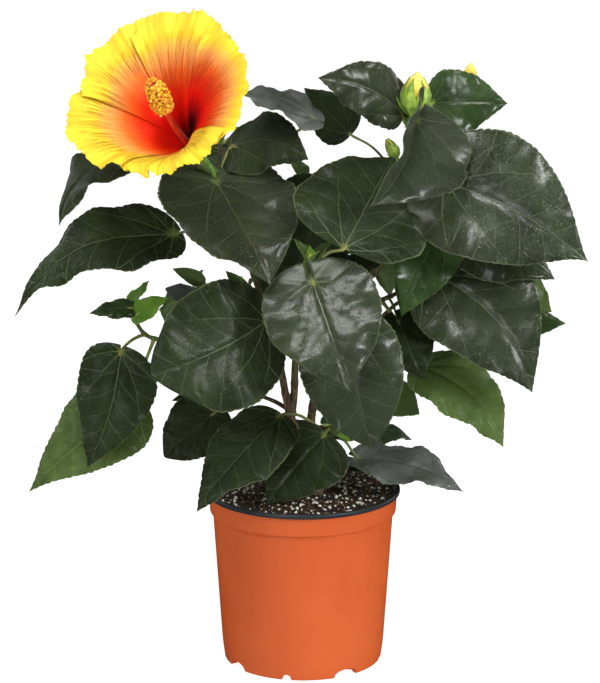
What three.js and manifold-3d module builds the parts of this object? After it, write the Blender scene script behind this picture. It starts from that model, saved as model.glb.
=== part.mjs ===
// A hibiscus shrub in a plastic nursery pot: two woody stems, their boughs, fourteen masses of
// broad glossy leaves with buds, and one open bloom. Millimetres, +Z up, its front is at -Y.
// The origin is on the ground, at the centre of the pot's underside.
import * as THREE from "three";
import { mergeVertices } from "three/addons/utils/BufferGeometryUtils.js";
import Module from "manifold-3d";

const wasm = await Module();
wasm.setup();

// ---- Driving dimensions -----------------------------------------------------------------------

const GAP = 0.35; // air between neighbouring pieces
const POT = {
  height: 120,
  lipRadius: 66, // outside of the rolled lip
  footRadius: 53.4,
  band: { height: 15, top: 63.8, bottom: 63 }, // the upright collar under the lip
  shoulder: 61, // body radius just under the collar
  wall: 1.8,
  lipThick: 1.4,
  floor: 3, // height of the channel between the floor's middle and the foot ring
  segments: 36,
};
const FEET = { count: 4, turn: 33, archWide: 18, archHigh: 5.6, notchWide: 7, notchHigh: 4.2 };
const SOIL = { crown: 117, edge: 114.5, flatRadius: 24 };
const LEAF = {
  thickShare: 0.0145, // thickness at the midrib for each unit of length
  rows: [0.06, 0.28, 0.58, 0.84],
  across: [-1, -0.5, 0, 0.5, 1],
};
const STALK = { foot: 1.3, tip: 0.95, sunk: 5 };
const GOLDEN_ANGLE = 137.5;
const GROWTH = {
  tries: 24, // places looked at for each leaf
  nudge: 53, // degrees from one to the next
  droop: [20, 70], // degrees below level
  stalk: [16, 40],
  room: 9, // least distance between the sample points of two leaves
};

const COLOURS = {
  terracotta: { color: 0xc8562a, roughness: 0.35, metalness: 0 },
  soil: { color: 0x2b211b, roughness: 0.95, metalness: 0 },
  bark: { color: 0x7d6446, roughness: 0.85, metalness: 0 },
  leaf: { color: 0x26371f, roughness: 0.32, metalness: 0 },
  petal: { color: 0xf7a01c, roughness: 0.6, metalness: 0 },
};

// ---- Solids -----------------------------------------------------------------------------------

const DEGREE = Math.PI / 180;
const UP = new THREE.Vector3(0, 0, 1);
const vector = (point) => (point.isVector3 ? point.clone() : new THREE.Vector3(...point));

// A closed three.js geometry as a manifold solid, turned right side out.
function solid(geometry) {
  const bare = geometry.index ? geometry.toNonIndexed() : geometry.clone();
  for (const name of ["normal", "uv"]) bare.deleteAttribute(name);
  const merged = mergeVertices(bare, 1e-4);
  const build = (triVerts) =>
    new wasm.Manifold(
      new wasm.Mesh({ numProp: 3, vertProperties: merged.attributes.position.array, triVerts }),
    );
  const faces = new Uint32Array(merged.index.array);
  const made = build(faces);
  if (made.volume() >= 0) return made;
  for (let i = 0; i < faces.length; i += 3) [faces[i + 1], faces[i + 2]] = [faces[i + 2], faces[i + 1]];
  return build(faces);
}

// Points and triangles as a closed solid.
function solidOf(points, faces) {
  const geometry = new THREE.BufferGeometry();
  geometry.setFromPoints(points);
  geometry.setIndex(faces);
  return solid(geometry);
}

const join = (solids) => solids.reduce((all, next) => all.add(next));

// The largest body of a solid, so that no loose scrap is left by a cut.
function largest(shape) {
  return shape.decompose().reduce((best, next) => (next.volume() > best.volume() ? next : best));
}

// A solid of revolution about +Z from a profile of [radius, height] pairs.
function turned(profile, segments) {
  const points = profile.map(([radius, height]) => new THREE.Vector2(radius, height));
  return solid(new THREE.LatheGeometry(points, segments).rotateX(Math.PI / 2));
}

function mesh(name, shape, look) {
  const { numProp, vertProperties, triVerts } = shape.getMesh();
  const positions = new Float32Array((vertProperties.length / numProp) * 3);
  for (let i = 0; i < positions.length / 3; i++)
    positions.set(vertProperties.subarray(i * numProp, i * numProp + 3), i * 3);
  const geometry = new THREE.BufferGeometry();
  geometry.setAttribute("position", new THREE.BufferAttribute(positions, 3));
  geometry.setIndex(new THREE.BufferAttribute(new Uint32Array(triVerts), 1));
  const made = new THREE.Mesh(geometry.toNonIndexed(), new THREE.MeshStandardMaterial(COLOURS[look]));
  made.geometry.computeVertexNormals();
  made.name = name;
  return made;
}

// ---- Limbs ------------------------------------------------------------------------------------

const curveThrough = (points) => new THREE.CatmullRomCurve3(points.map(vector), false, "centripetal");

// A tapering limb: round rings along a smooth curve, closed by a flat cut at each end.
// swell adds to the radius everywhere and reaches past both ends, for cutting room round the limb.
function limb(curve, foot, tip, { sides = 8, steps = 5, flare = 0, level = false, swell = 0 } = {}) {
  const frames = curve.computeFrenetFrames(steps);
  const points = [];
  for (let ring = 0; ring <= steps; ring++) {
    const along = ring / steps;
    const radius = foot + (tip - foot) * along + flare * Math.exp(-7 * along) + swell;
    const centre = curve.getPointAt(along);
    const end = ring === 0 ? -1 : ring === steps ? 1 : 0;
    centre.addScaledVector(frames.tangents[ring], end * swell);
    for (let side = 0; side < sides; side++) {
      const angle = (side / sides) * 2 * Math.PI;
      const point = centre
        .clone()
        .addScaledVector(frames.normals[ring], radius * Math.cos(angle))
        .addScaledVector(frames.binormals[ring], radius * Math.sin(angle));
      if (level && ring === 0) point.z = centre.z;
      points.push(point);
    }
  }
  const faces = [];
  for (let ring = 0; ring < steps; ring++)
    for (let side = 0; side < sides; side++) {
      const a = ring * sides + side;
      const b = ring * sides + ((side + 1) % sides);
      faces.push(a, b, a + sides, b, b + sides, a + sides);
    }
  for (let side = 1; side < sides - 1; side++) {
    const last = steps * sides;
    faces.push(0, side + 1, side, last, last + side, last + side + 1);
  }
  return solidOf(points, faces);
}

// ---- Leaves -----------------------------------------------------------------------------------

// Half the width of a heart-shaped blade, as a share of its widest, from stalk (0) to tip (1).
// point draws the tip out when it is above 0, and blunts it when it is below.
function outline(along, point) {
  const round = Math.sin(Math.PI * along ** 0.56) ** 0.67;
  return round * (1 - 0.3 * along ** 4) * (1 - point * along ** 1.5);
}

// The frame of a blade: along its chord, towards its upper face, and to its side.
function bladeFrame({ base, tip, face }) {
  const along = tip.clone().sub(base);
  const length = along.length();
  along.normalize();
  const upper = face.clone().addScaledVector(along, -face.dot(along)).normalize();
  return { length, along, upper, side: new THREE.Vector3().crossVectors(upper, along) };
}

// A point of the blade: along runs 0 to 1 from stalk to tip, across -1 to 1 from edge to edge.
function bladePoint(leaf, along, across, lift) {
  const { length, along: forward, upper, side } = bladeFrame(leaf);
  const half = 0.5 * leaf.wide * length * outline(along, leaf.point);
  const back = leaf.lobe * Math.abs(across) ** 1.5 * (1 - along) ** 4;
  const middle = 4 * along * (1 - along) * length;
  const roll = leaf.cup * Math.abs(across) * half + leaf.twist * across * half * (along - 0.3);
  return leaf.base
    .clone()
    .addScaledVector(forward, length * (along - back))
    .addScaledVector(side, across * half + leaf.bend * middle)
    .addScaledVector(upper, leaf.arch * middle + roll + lift);
}

// One leaf blade: two skins that meet at a thin edge.
function blade(leaf) {
  const thick = 0.5 * LEAF.thickShare * leaf.tip.distanceTo(leaf.base);
  const last = LEAF.across.length - 1;
  const points = [leaf.base, leaf.tip];
  const rows = LEAF.rows.map((along) => {
    const upper = [];
    const lower = [];
    LEAF.across.forEach((across, column) => {
      const lift = column % last ? thick * (1 - 0.4 * along) : 0;
      upper.push(points.push(bladePoint(leaf, along, across, lift)) - 1);
      lower.push(lift ? points.push(bladePoint(leaf, along, across, -lift)) - 1 : upper[column]);
    });
    return { upper, lower };
  });
  const faces = [];
  const first = rows[0];
  const final = rows[rows.length - 1];
  for (let column = 0; column < last; column++) {
    const next = column + 1;
    faces.push(0, first.upper[next], first.upper[column], 0, first.lower[column], first.lower[next]);
    faces.push(1, final.upper[column], final.upper[next], 1, final.lower[next], final.lower[column]);
    for (let row = 0; row < rows.length - 1; row++) {
      const { upper: a, lower: c } = rows[row];
      const { upper: b, lower: d } = rows[row + 1];
      faces.push(a[column], a[next], b[column], a[next], b[next], b[column]);
      faces.push(c[column], d[column], c[next], c[next], d[column], d[next]);
    }
  }
  return solidOf(points, faces);
}

// The leaf stalk, from its root in the twig to just inside the blade.
function stalk(leaf, root, swell = 0) {
  const { along, upper } = bladeFrame(leaf);
  const entry = leaf.base.clone().addScaledVector(along, STALK.sunk);
  const middle = root.clone().lerp(leaf.base, 0.55);
  middle.z += 0.1 * root.distanceTo(leaf.base);
  entry.addScaledVector(upper, leaf.arch * STALK.sunk * 4 - 0.4);
  const curve = curveThrough([root, middle, leaf.base, entry]);
  return limb(curve, STALK.foot, STALK.tip, { sides: 3, steps: 3, swell });
}

// A leaf from its base to its tip; face is the direction that its upper side looks in. wide is its
// width for each unit of length, arch bows it upwards, bend bows it sideways, cup folds its halves
// up, and twist turns its tip.
const FLAT = { wide: 0.8, arch: 0.06, bend: 0, cup: 0, twist: 0, point: 0, lobe: 0.19 };
function leaf(base, tip, face, shape = {}) {
  return { ...FLAT, ...shape, base: vector(base), tip: vector(tip), face: vector(face) };
}

const FOOT = SOIL.crown + GAP; // where the stems are cut flat

// Each limb runs through its points, in order from its foot. The first ones carry the others.
const LIMBS = {
  stem_front: {
    path: [[8, -6, FOOT], [4, -5, 130], [-1, -5, 147], [-8, -8, 169]],
    foot: 3.9, tip: 3.3, flare: 1.4, level: true,
  },
  stem_rear: {
    path: [[3, 13, FOOT], [5, 10, 145], [6, 10, 169], [12, 8, 200]],
    foot: 3.2, tip: 2.6, flare: 1, level: true,
  },
  bough_left: {
    path: [
      [-8, -8, 169], [-11, -12, 184], [-16, -18, 212], [-23, -24, 232], [-27, -28, 256], [-35, -26, 281],
    ],
    foot: 2.6, tip: 1.9,
  },
  bough_centre: {
    path: [[-8, -8, 169], [-6, -10, 186], [-5, -18, 214], [-2, -32, 240]],
    foot: 2.6, tip: 2.1,
  },
  bough_right: {
    path: [[12, 8, 200], [18, 6, 222], [32, 5, 252], [48, 3, 284], [58, 1, 308], [65, 0, 330]],
    foot: 2.6, tip: 1.7,
  },
  bough_young: {
    path: [[-17, -19, 214], [-45, -24, 217], [-70, -22, 221], [-90, -20, 226]],
    foot: 1.9, tip: 1.5,
  },
  bough_back_left: { path: [[-16, -18, 206], [-30, 4, 216], [-46, 22, 232]], foot: 1.9, tip: 1.6 },
  bough_back_top: { path: [[-31, -27, 268], [-40, -6, 288], [-50, 18, 306]], foot: 1.8, tip: 1.5 },
  bough_back: { path: [[9, 9, 186], [7, 26, 206], [2, 42, 236]], foot: 2.2, tip: 1.8 },
  bough_back_right: { path: [[30, 5, 248], [48, 24, 262], [68, 40, 278]], foot: 2, tip: 1.7 },
  bough_back_low: { path: [[15, 7, 211], [34, 24, 216], [52, 42, 226]], foot: 1.8, tip: 1.5 },
};

// Each mass of foliage has one stem of its own, and the leaves that it carries. Those that grow by
// rule stay inside the mass's space, an ellipsoid given by its centre and its three half sizes.
const MASSES = {
  leaves_bloom: {
    stem: {
      path: [[-35, -26, 281], [-44, -22, 300], [-52, -16, 318], [-57, -12, 331]],
      foot: 1.9, tip: 1.5,
    },
    leaves: [
      leaf([-57, -20, 333], [-21, -88, 281], [0, -0.5, 0.9], { wide: 0.97, lobe: 0.24 }),
      leaf([7, -14, 374], [-42, -16, 392], [0, -0.35, 0.95],
        { wide: 0.7, arch: 0.11, lobe: 0.14 }),
      leaf([-47, -5, 354], [3, -30, 351], [0, -0.8, 0.6],
        { wide: 0.85, bend: 0.14, cup: -0.2, lobe: 0.1 }),
      leaf([-99, 0, 352], [-161, -25, 307], [-0.3, -0.4, 0.85],
        { wide: 0.6, arch: 0.12, bend: -0.13 }),
      leaf([-85, -15, 297], [-191, -35, 249], [0, -0.6, 0.8],
        { wide: 0.53, arch: 0.1, bend: -0.11, point: 0.6, lobe: 0.05 }),
    ],
  },
  leaves_young: {
    stem: { path: [[-90, -20, 226], [-104, -18, 230], [-112, -15, 240]], foot: 1.5, tip: 1.2 },
    leaves: [
      leaf([-120, -30, 222], [-143, -45, 146], [-0.1, -1, 0.2],
        { wide: 0.68, bend: 0.06, point: 0.2, lobe: 0.05 }),
      leaf([-112, -5, 180], [-185, -20, 122], [-0.1, -0.95, 0.3],
        { wide: 0.64, bend: -0.02, point: 0.5, lobe: 0.05 }),
      leaf([-113, -17, 248], [-141, -22, 246], [0, -0.8, 0.6], { wide: 0.5 }),
      leaf([-115, -13, 249], [-102, -4, 264], [-0.7, -0.7, 0.2], { wide: 0.5 }),
      leaf([-110, -20, 244], [-89, -28, 258], [0, -0.8, 0.6], { wide: 0.6 }),
    ],
  },
  leaves_left: {
    stem: { path: [[-27, -28, 252], [-32, -34, 256], [-36, -38, 262]], foot: 1.6, tip: 1.3 },
    leaves: [
      leaf([-24, -60, 250], [-96, -100, 225], [0, -1, 0.25],
        { wide: 0.87, bend: 0.05, point: -0.45, lobe: 0.08 }),
      leaf([-72, 20, 245], [-93, 25, 252], [0, -0.8, 0.6], { wide: 0.7 }),
    ],
  },
  leaves_low: {
    stem: { path: [[-9, -10, 176], [-18, -4, 180], [-30, 0, 184]], foot: 1.6, tip: 1.3 },
    leaves: [
      leaf([-60, -8, 173], [-93, -18, 146], [-0.2, -0.8, 0.3], { wide: 1 }),
      leaf([-38, 4, 190], [-89, 8, 178], [0, -0.8, 0.5], { wide: 0.45 }),
    ],
  },
  leaves_centre: {
    stem: { path: [[-2, -32, 240], [1, -44, 260], [5, -56, 276], [5, -60, 286]], foot: 2.1, tip: 1.5 },
    leaves: [
      leaf([6, -75, 279], [29, -118, 219], [0, -0.85, 0.5], { wide: 0.96, point: -0.15 }),
      leaf([26, -72, 300], [61, -4, 350], [0, -0.9, 0.4], { wide: 1, lobe: 0 }),
      leaf([25, -65, 248], [44, -78, 170], [0, -1, 0.2],
        { wide: 0.8, point: -0.15, lobe: 0.12 }),
      leaf([9, -45, 276], [51, -30, 282], [0, -0.6, 0.8], { wide: 0.75 }),
    ],
    buds: [{ base: [5, -58, 284], aim: [0, -0.1, 1], radius: 4, length: 13 }],
  },
  leaves_foot: {
    stem: { path: [[6, 10, 158], [12, 4, 160], [18, 0, 160]], foot: 1.6, tip: 1.3 },
    leaves: [
      leaf([-15, -22, 176], [-70, -72, 126], [-0.2, -0.75, 0.6],
        { wide: 0.58, lobe: 0.02 }),
      leaf([14, -8, 158], [-24, -45, 122], [0.2, -0.7, 0.7], { wide: 0.88, lobe: 0.05 }),
      leaf([22, 16, 157], [75, 28, 145], [0, -0.4, 0.9], { wide: 0.6 }),
      leaf([37, -8, 142], [107, -30, 127], [0, -0.4, 0.9],
        { wide: 0.48, arch: 0.1, point: -0.5, lobe: 0.1 }),
    ],
  },
  leaves_top: {
    stem: { path: [[65, 0, 330], [69, -1, 348], [70, -3, 366]], foot: 1.7, tip: 1.4 },
    leaves: [
      leaf([31, 26, 357], [1, 20, 389], [0, -1, 0.3], { wide: 0.75, lobe: 0.03 }),
      leaf([66, 0, 373], [10, -20, 402], [0, -0.95, 0.3],
        { wide: 0.5, arch: 0.08, bend: -0.1, point: -0.7, lobe: 0 }),
      leaf([86, 25, 378], [135, 15, 380], [0, -0.9, 0.4],
        { wide: 0.92, arch: 0.05, lobe: 0.1 }),
      leaf([72, -42, 379], [45, -86, 331], [0.66, -0.73, 0.1],
        { wide: 0.92, bend: 0.05, cup: 0.85 }),
      leaf([13, 20, 317], [-8, 0, 263], [0.2, -0.9, 0.3], { wide: 1, point: -0.4 }),
    ],
    buds: [
      { base: [73, -4, 375], aim: [0.05, -0.15, 1], radius: 10, length: 30 },
      { base: [59, 4, 384], aim: [-0.1, 0, 1], radius: 5.5, length: 13 },
      { base: [110, 35, 384], aim: [0.1, 0, 1], radius: 6, length: 20 },
      { base: [62, 6, 345], aim: [-0.5, 0, 0.9], radius: 4, length: 14 },
    ],
  },
  leaves_right: {
    stem: { path: [[58, 1, 306], [70, -4, 312], [82, -8, 320], [88, -14, 328]], foot: 1.8, tip: 1.4 },
    leaves: [
      leaf([92, -46, 338], [182, -78, 293], [0, -0.95, 0.3],
        { wide: 0.84, arch: 0.05, bend: 0.05, point: 0.1 }),
      leaf([98, -16, 301], [164, -42, 274], [0, -0.8, 0.5], { wide: 0.62, point: -0.2 }),
      leaf([91, -34, 306], [64, -52, 251], [0.1, -0.95, 0.3],
        { wide: 0.7, bend: -0.04 }),
      leaf([137, -12, 262], [165, -15, 245], [0.2, -0.9, 0.3], { wide: 0.95 }),
      leaf([139, -12, 238], [174, -18, 238], [0.2, -0.9, 0.3], { wide: 0.55 }),
    ],
  },
  leaves_lower_right: {
    stem: { path: [[27, 5, 240], [42, 0, 246], [56, -4, 252], [66, -8, 258]], foot: 1.8, tip: 1.4 },
    leaves: [
      leaf([87, -25, 272], [149, -62, 203], [0, -1, 0.35],
        { wide: 0.77, bend: 0.11, lobe: 0.02 }),
      leaf([63, -22, 240], [79, -42, 206], [0, -1, 0.2], { wide: 0.92 }),
      leaf([78, -12, 207], [133, -40, 160], [0.2, -0.85, 0.5],
        { wide: 0.57, bend: 0.11, point: -0.2, lobe: 0.05 }),
      leaf([55, -5, 189], [79, 0, 170], [0, -0.9, 0.2], { wide: 0.8 }),
    ],
  },
  leaves_back_left: {
    stem: { path: [[-46, 22, 232], [-58, 36, 244], [-68, 48, 250]], foot: 1.6, tip: 1.2 },
    space: { centre: [-68, 68, 206], half: [52, 74, 56] },
    seed: 5, count: 14, length: 66,
  },
  leaves_back_top: {
    stem: { path: [[-50, 18, 306], [-54, 34, 324], [-56, 46, 346]], foot: 1.5, tip: 1.2 },
    space: { centre: [-56, 66, 330], half: [66, 74, 62] },
    seed: 11, count: 14, length: 68,
  },
  leaves_back: {
    stem: { path: [[2, 42, 236], [4, 52, 262], [8, 60, 290]], foot: 1.8, tip: 1.2 },
    leaves: [leaf([-6, 42, 292], [-27, 38, 236], [0, -0.9, 0.3], { wide: 0.62 })],
    space: { centre: [22, 80, 256], half: [70, 82, 66] },
    seed: 9, count: 16, length: 74,
  },
  leaves_back_right: {
    stem: { path: [[68, 40, 278], [78, 46, 300], [84, 50, 326]], foot: 1.7, tip: 1.2 },
    space: { centre: [102, 66, 298], half: [76, 78, 78] },
    seed: 3, count: 16, length: 74,
  },
  leaves_back_low: {
    stem: { path: [[52, 42, 226], [66, 52, 236], [78, 60, 240]], foot: 1.5, tip: 1.2 },
    space: { centre: [72, 66, 205], half: [66, 74, 50] },
    seed: 7, count: 14, length: 66,
  },
};

// ---- Growth by rule ---------------------------------------------------------------------------

// The same run of numbers between 0 and 1 for the same seed.
function seeded(seed) {
  let state = seed;
  return () => {
    state = (Math.imul(state, 1664525) + 1013904223) >>> 0;
    return state / 2 ** 32;
  };
}

// Points spread over a blade, which stand for it when room is measured.
function samples(leaf) {
  const points = [];
  for (const along of [0, 0.2, 0.4, 0.6, 0.8, 1])
    for (const across of along % 1 ? LEAF.across : [0]) points.push(bladePoint(leaf, along, across, 0));
  return points;
}

// Whether the points keep a distance from all that is there already.
function clear(points, taken, distance) {
  return points.every((point) => taken.every((other) => point.distanceToSquared(other) > distance ** 2));
}

function inside({ centre, half }, point) {
  return point.clone().sub(vector(centre)).divide(vector(half)).length() < 1;
}

// Leaves up a stem, each a golden angle on from the last. One that would leave the mass's space or
// come too near another is tried again a little further round, and then left out.
function grow({ stem, space, seed, count, length }, taken) {
  const random = seeded(seed);
  const curve = curveThrough(stem.path);
  const grown = [];
  for (let i = 0; i < count; i++) {
    const root = curve.getPointAt((i + 0.6) / count);
    for (let turn = 0; turn < GROWTH.tries; turn++) {
      const angle = (i * GOLDEN_ANGLE + turn * GROWTH.nudge + 40 * random()) * DEGREE;
      const droop = (GROWTH.droop[0] + (GROWTH.droop[1] - GROWTH.droop[0]) * random()) * DEGREE;
      const reach = GROWTH.stalk[0] + (GROWTH.stalk[1] - GROWTH.stalk[0]) * random();
      const size = length * (0.8 + 0.35 * random());
      const out = new THREE.Vector3(Math.cos(angle), Math.sin(angle), 0);
      const base = root.clone().addScaledVector(out, reach * 0.85).addScaledVector(UP, reach * 0.5);
      const tip = base.clone().addScaledVector(out, size * Math.cos(droop));
      tip.z -= size * Math.sin(droop);
      const made = leaf(base, tip, out.clone().multiplyScalar(0.8).add(UP), { arch: 0.1 });
      const points = samples(made);
      const fits = points.every((point) => inside(space, point));
      if (!fits || !clear(points, taken, GROWTH.room)) continue;
      taken.push(...points);
      grown.push(made);
      break;
    }
  }
  return grown;
}

// ---- Pot and soil -----------------------------------------------------------------------------

function pot() {
  const { height, lipRadius, footRadius, band, shoulder, wall, lipThick, floor, segments } = POT;
  const bandFoot = height - lipThick - band.height;
  const shell = turned(
    [
      [0, 0],
      [footRadius - 15, 0],
      [footRadius - 13, floor],
      [footRadius - 7, floor],
      [footRadius - 5, 0],
      [footRadius, 0],
      [shoulder, bandFoot - 1],
      [band.bottom, bandFoot + 1],
      [band.top, height - lipThick],
      [lipRadius, height - lipThick],
      [lipRadius, height - 0.4],
      [lipRadius - 0.6, height],
      [band.top - wall, height],
      [footRadius - wall, floor + wall],
      [0, floor + wall],
    ],
    segments,
  );
  const cuts = [];
  for (let i = 0; i < FEET.count; i++) {
    const turn = (FEET.turn - 90 + (i * 360) / FEET.count) * DEGREE;
    cuts.push(footCut(FEET.archWide, FEET.archHigh, 4, turn));
    cuts.push(footCut(FEET.notchWide, FEET.notchHigh, 1, turn + Math.PI / FEET.count));
  }
  return shell.subtract(join(cuts));
}

// The cutter of an opening in the foot ring: a round-topped arch, or a pointed notch with 1 step.
function footCut(wide, high, steps, turn) {
  const shape = new THREE.Shape();
  shape.moveTo(-wide / 2, -1);
  shape.lineTo(-wide / 2, 0);
  for (let i = 1; i < 2 * steps; i++) {
    const angle = (i / (2 * steps)) * Math.PI;
    shape.lineTo((-wide / 2) * Math.cos(angle), high * Math.sin(angle) ** 0.7);
  }
  shape.lineTo(wide / 2, 0);
  shape.lineTo(wide / 2, -1);
  const cutter = new THREE.ExtrudeGeometry(shape, { depth: 12, bevelEnabled: false });
  cutter.rotateX(Math.PI / 2).rotateZ(Math.PI / 2).translate(POT.footRadius - 6.5, 0, 0);
  cutter.rotateZ(turn);
  return solid(cutter);
}

// The radius of the pot's straight inner wall at a height.
function innerRadius(z) {
  const { height, footRadius, band, wall, floor } = POT;
  const foot = floor + wall;
  return footRadius - wall + ((band.top - footRadius) * (z - foot)) / (height - foot);
}

function soil() {
  const bed = POT.floor + POT.wall + GAP;
  const side = 1.2 * GAP;
  return turned(
    [
      [0, bed],
      [innerRadius(bed) - side, bed],
      [innerRadius(SOIL.edge) - side, SOIL.edge],
      [SOIL.flatRadius, SOIL.crown],
      [0, SOIL.crown],
    ],
    POT.segments,
  );
}

// ---- Bloom and buds ---------------------------------------------------------------------------

const BLOOM = {
  stalk: [[-57, -12, 331], [-59, -18, 340], [-63, -28, 349]],
  throat: [-73, -48, 363],
  axis: [-0.38, -0.72, 0.58],
  turns: [20, 92, 170, 240, 308], // degrees that each petal is turned round the axis
  radius: 63.5,
  low: 0.2, // share by which the lowest petals are shorter
  depth: 56,
  lean: 4, // how far the rim is drawn up, off the axis
  roll: 4, // how far the lowest petals swell forward before their rims roll out
  column: [[0, 0, -9], [-0.5, 2, 24], [-4.4, 14, 57]],
  rows: [0, 0.25, 0.55, 0.82, 1],
  across: [-1, -0.5, 0, 0.5, 1],
  thick: 1.1,
};

// Profiles of [radius, height] about an axis: the green cup under the petals, the head of anthers
// on the column, and a closed bud of radius 1 and length 1.
const CALYX = [[0, -14], [3.5, -13.5], [8, -7], [8, 2], [9.5, 12], [5, 8], [0, 6]];
const ANTHERS = [[0, -19], [4.5, -17], [7, -8], [5, 2], [0, 4]];
const BUD = [[0, 0], [0.55, 0.04], [0.95, 0.3], [1, 0.5], [0.72, 0.78], [0.2, 0.98], [0, 1]];

// A frame with its third axis along a direction, and its first one as level as can be.
function frameAt(origin, direction) {
  const third = vector(direction).normalize();
  const first = new THREE.Vector3().crossVectors(UP, third).normalize();
  const second = new THREE.Vector3().crossVectors(third, first);
  return new THREE.Matrix4().makeBasis(first, second, third).setPosition(vector(origin));
}

function petalPoint(index, along, across, lift) {
  const reach = along * (1 - 0.13 * Math.abs(across) ** 3);
  const half = 30 + 14 * Math.sqrt(along);
  const angle = (BLOOM.turns[index] + across * half) * DEGREE;
  const lowest = Math.max(0, -Math.sin(angle)) ** 2;
  const full = (BLOOM.radius - 3.5) * (1 - BLOOM.low * lowest);
  const radius = 3.5 + full * reach ** 1.3 + lift * 0.6;
  const frill = 2.2 * Math.sin(4 * Math.PI * across + index) * reach ** 5;
  const curl = 20 * Math.max(0, reach - 0.75) * across ** 2;
  const swell = BLOOM.roll * lowest * Math.sin((Math.PI * Math.max(0, reach - 0.35)) / 0.65) ** 2;
  const rise = BLOOM.depth * (1 - (1 - reach) ** 1.7) - curl + swell;
  return new THREE.Vector3(
    radius * Math.cos(angle),
    radius * Math.sin(angle) + BLOOM.lean * reach ** 2,
    rise + frill - lift * 0.8 + 2.4 * across * reach,
  );
}

function petal(index) {
  const { rows, across, thick } = BLOOM;
  const points = [];
  const place = (along, side, lift) => points.push(petalPoint(index, along, side, lift)) - 1;
  const skin = (lift) => rows.map((along) => across.map((side) => place(along, side, lift)));
  const [outer, inner] = [skin(thick / 2), skin(-thick / 2)];
  const faces = [];
  const quad = (a, b, c, d) => faces.push(a, b, c, a, c, d);
  const lastRow = rows.length - 1;
  const lastSide = across.length - 1;
  for (let i = 0; i < lastRow; i++)
    for (let j = 0; j < lastSide; j++) {
      quad(outer[i][j], outer[i][j + 1], outer[i + 1][j + 1], outer[i + 1][j]);
      quad(inner[i][j], inner[i + 1][j], inner[i + 1][j + 1], inner[i][j + 1]);
    }
  for (let j = 0; j < lastSide; j++) {
    quad(outer[0][j], inner[0][j], inner[0][j + 1], outer[0][j + 1]);
    quad(outer[lastRow][j], outer[lastRow][j + 1], inner[lastRow][j + 1], inner[lastRow][j]);
  }
  for (let i = 0; i < lastRow; i++) {
    quad(outer[i][0], outer[i + 1][0], inner[i + 1][0], inner[i][0]);
    quad(outer[i][lastSide], inner[i][lastSide], inner[i + 1][lastSide], outer[i + 1][lastSide]);
  }
  return solidOf(points, faces);
}

function bloom() {
  const frame = frameAt(BLOOM.throat, BLOOM.axis);
  const parts = [];
  BLOOM.turns.forEach((_, index) => parts.push(petal(index)));
  const column = curveThrough(BLOOM.column);
  parts.push(limb(column, 3, 1.8, { sides: 6, steps: 4 }));
  const head = frameAt(column.getPoint(1), column.getTangent(1));
  parts.push(turned(ANTHERS, 8).transform(head.toArray()));
  parts.push(turned(CALYX, 8));
  const flower = join(parts).transform(frame.toArray());
  const foot = new THREE.Vector3(0, 0, -12).applyMatrix4(frame);
  const stalkCurve = curveThrough([...BLOOM.stalk, foot]);
  return flower.add(limb(stalkCurve, 1.7, 2, { sides: 6, steps: 4 }));
}

// ---- Assembly ---------------------------------------------------------------------------------

// A bud on its own short stalk, from its place on the mass's stem.
function bud({ base, aim, radius, length }, curve) {
  const foot = vector(base);
  const direction = vector(aim).normalize();
  const form = turned(BUD.map(([r, h]) => [r * radius, h * length]), 7);
  const below = foot.clone().addScaledVector(direction, -4);
  const sunk = foot.clone().addScaledVector(direction, 2);
  const stalkCurve = curveThrough([rootOn(curve, foot), below, sunk]);
  const held = limb(stalkCurve, 1.2, 1.2, { sides: 5, steps: 3 });
  return form.transform(frameAt(base, aim).toArray()).add(held);
}

// Where a leaf stalk leaves the stem: a little below the leaf's base.
function rootOn(curve, base) {
  const places = curve.getSpacedPoints(16);
  const nearer = (target) => (best, place) =>
    place.distanceTo(target) < best.distanceTo(target) ? place : best;
  const nearest = (target) => places.reduce(nearer(target));
  const lower = base.clone();
  lower.z -= 0.45 * nearest(base).distanceTo(base);
  return nearest(lower);
}

function massOf({ stem, leaves = [], buds = [] }) {
  const curve = curveThrough(stem.path);
  const parts = [limb(curve, stem.foot, stem.tip, { sides: 6, steps: 4 })];
  for (const made of leaves) parts.push(blade(made), stalk(made, rootOn(curve, made.base)));
  for (const made of buds) parts.push(bud(made, curve));
  return join(parts);
}

// The room that a mass's stem and leaf stalks take up, for cutting what grows beside them.
function stemRoom({ stem, leaves }) {
  const curve = curveThrough(stem.path);
  const parts = leaves.map((made) => stalk(made, rootOn(curve, made.base), 2 * GAP));
  return join([limb(curve, stem.foot, stem.tip, { sides: 6, steps: 4, swell: GAP }), ...parts]);
}

const plant = new Map([
  ["pot", { shape: pot(), look: "terracotta" }],
  ["soil", { shape: soil(), look: "soil" }],
]);
const room = [];
for (const [name, { path, foot, tip, flare, level }] of Object.entries(LIMBS)) {
  const curve = curveThrough(path);
  let shape = limb(curve, foot, tip, { flare, level });
  for (const taken of room) shape = largest(shape.subtract(taken));
  room.push(limb(curve, foot, tip, { flare, level, swell: GAP }));
  plant.set(name, { shape, look: "bark" });
}

const taken = Object.values(LIMBS).flatMap(({ path }) => curveThrough(path).getSpacedPoints(8));
for (const { leaves = [] } of Object.values(MASSES)) taken.push(...leaves.flatMap(samples));
for (const mass of Object.values(MASSES))
  if (mass.space) mass.leaves = [...(mass.leaves ?? []), ...grow(mass, taken)];

for (const [name, mass] of Object.entries(MASSES)) {
  let shape = massOf(mass);
  for (const limbRoom of room) shape = shape.subtract(limbRoom);
  plant.set(name, { shape: largest(shape), look: "leaf" });
}
const flower = bloom().subtract(stemRoom(MASSES.leaves_bloom));
plant.set("bloom", { shape: largest(flower), look: "petal" });

const shrub = new THREE.Group();
for (const [name, { shape, look }] of plant) shrub.add(mesh(name, shape, look));

export default shrub;
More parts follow.
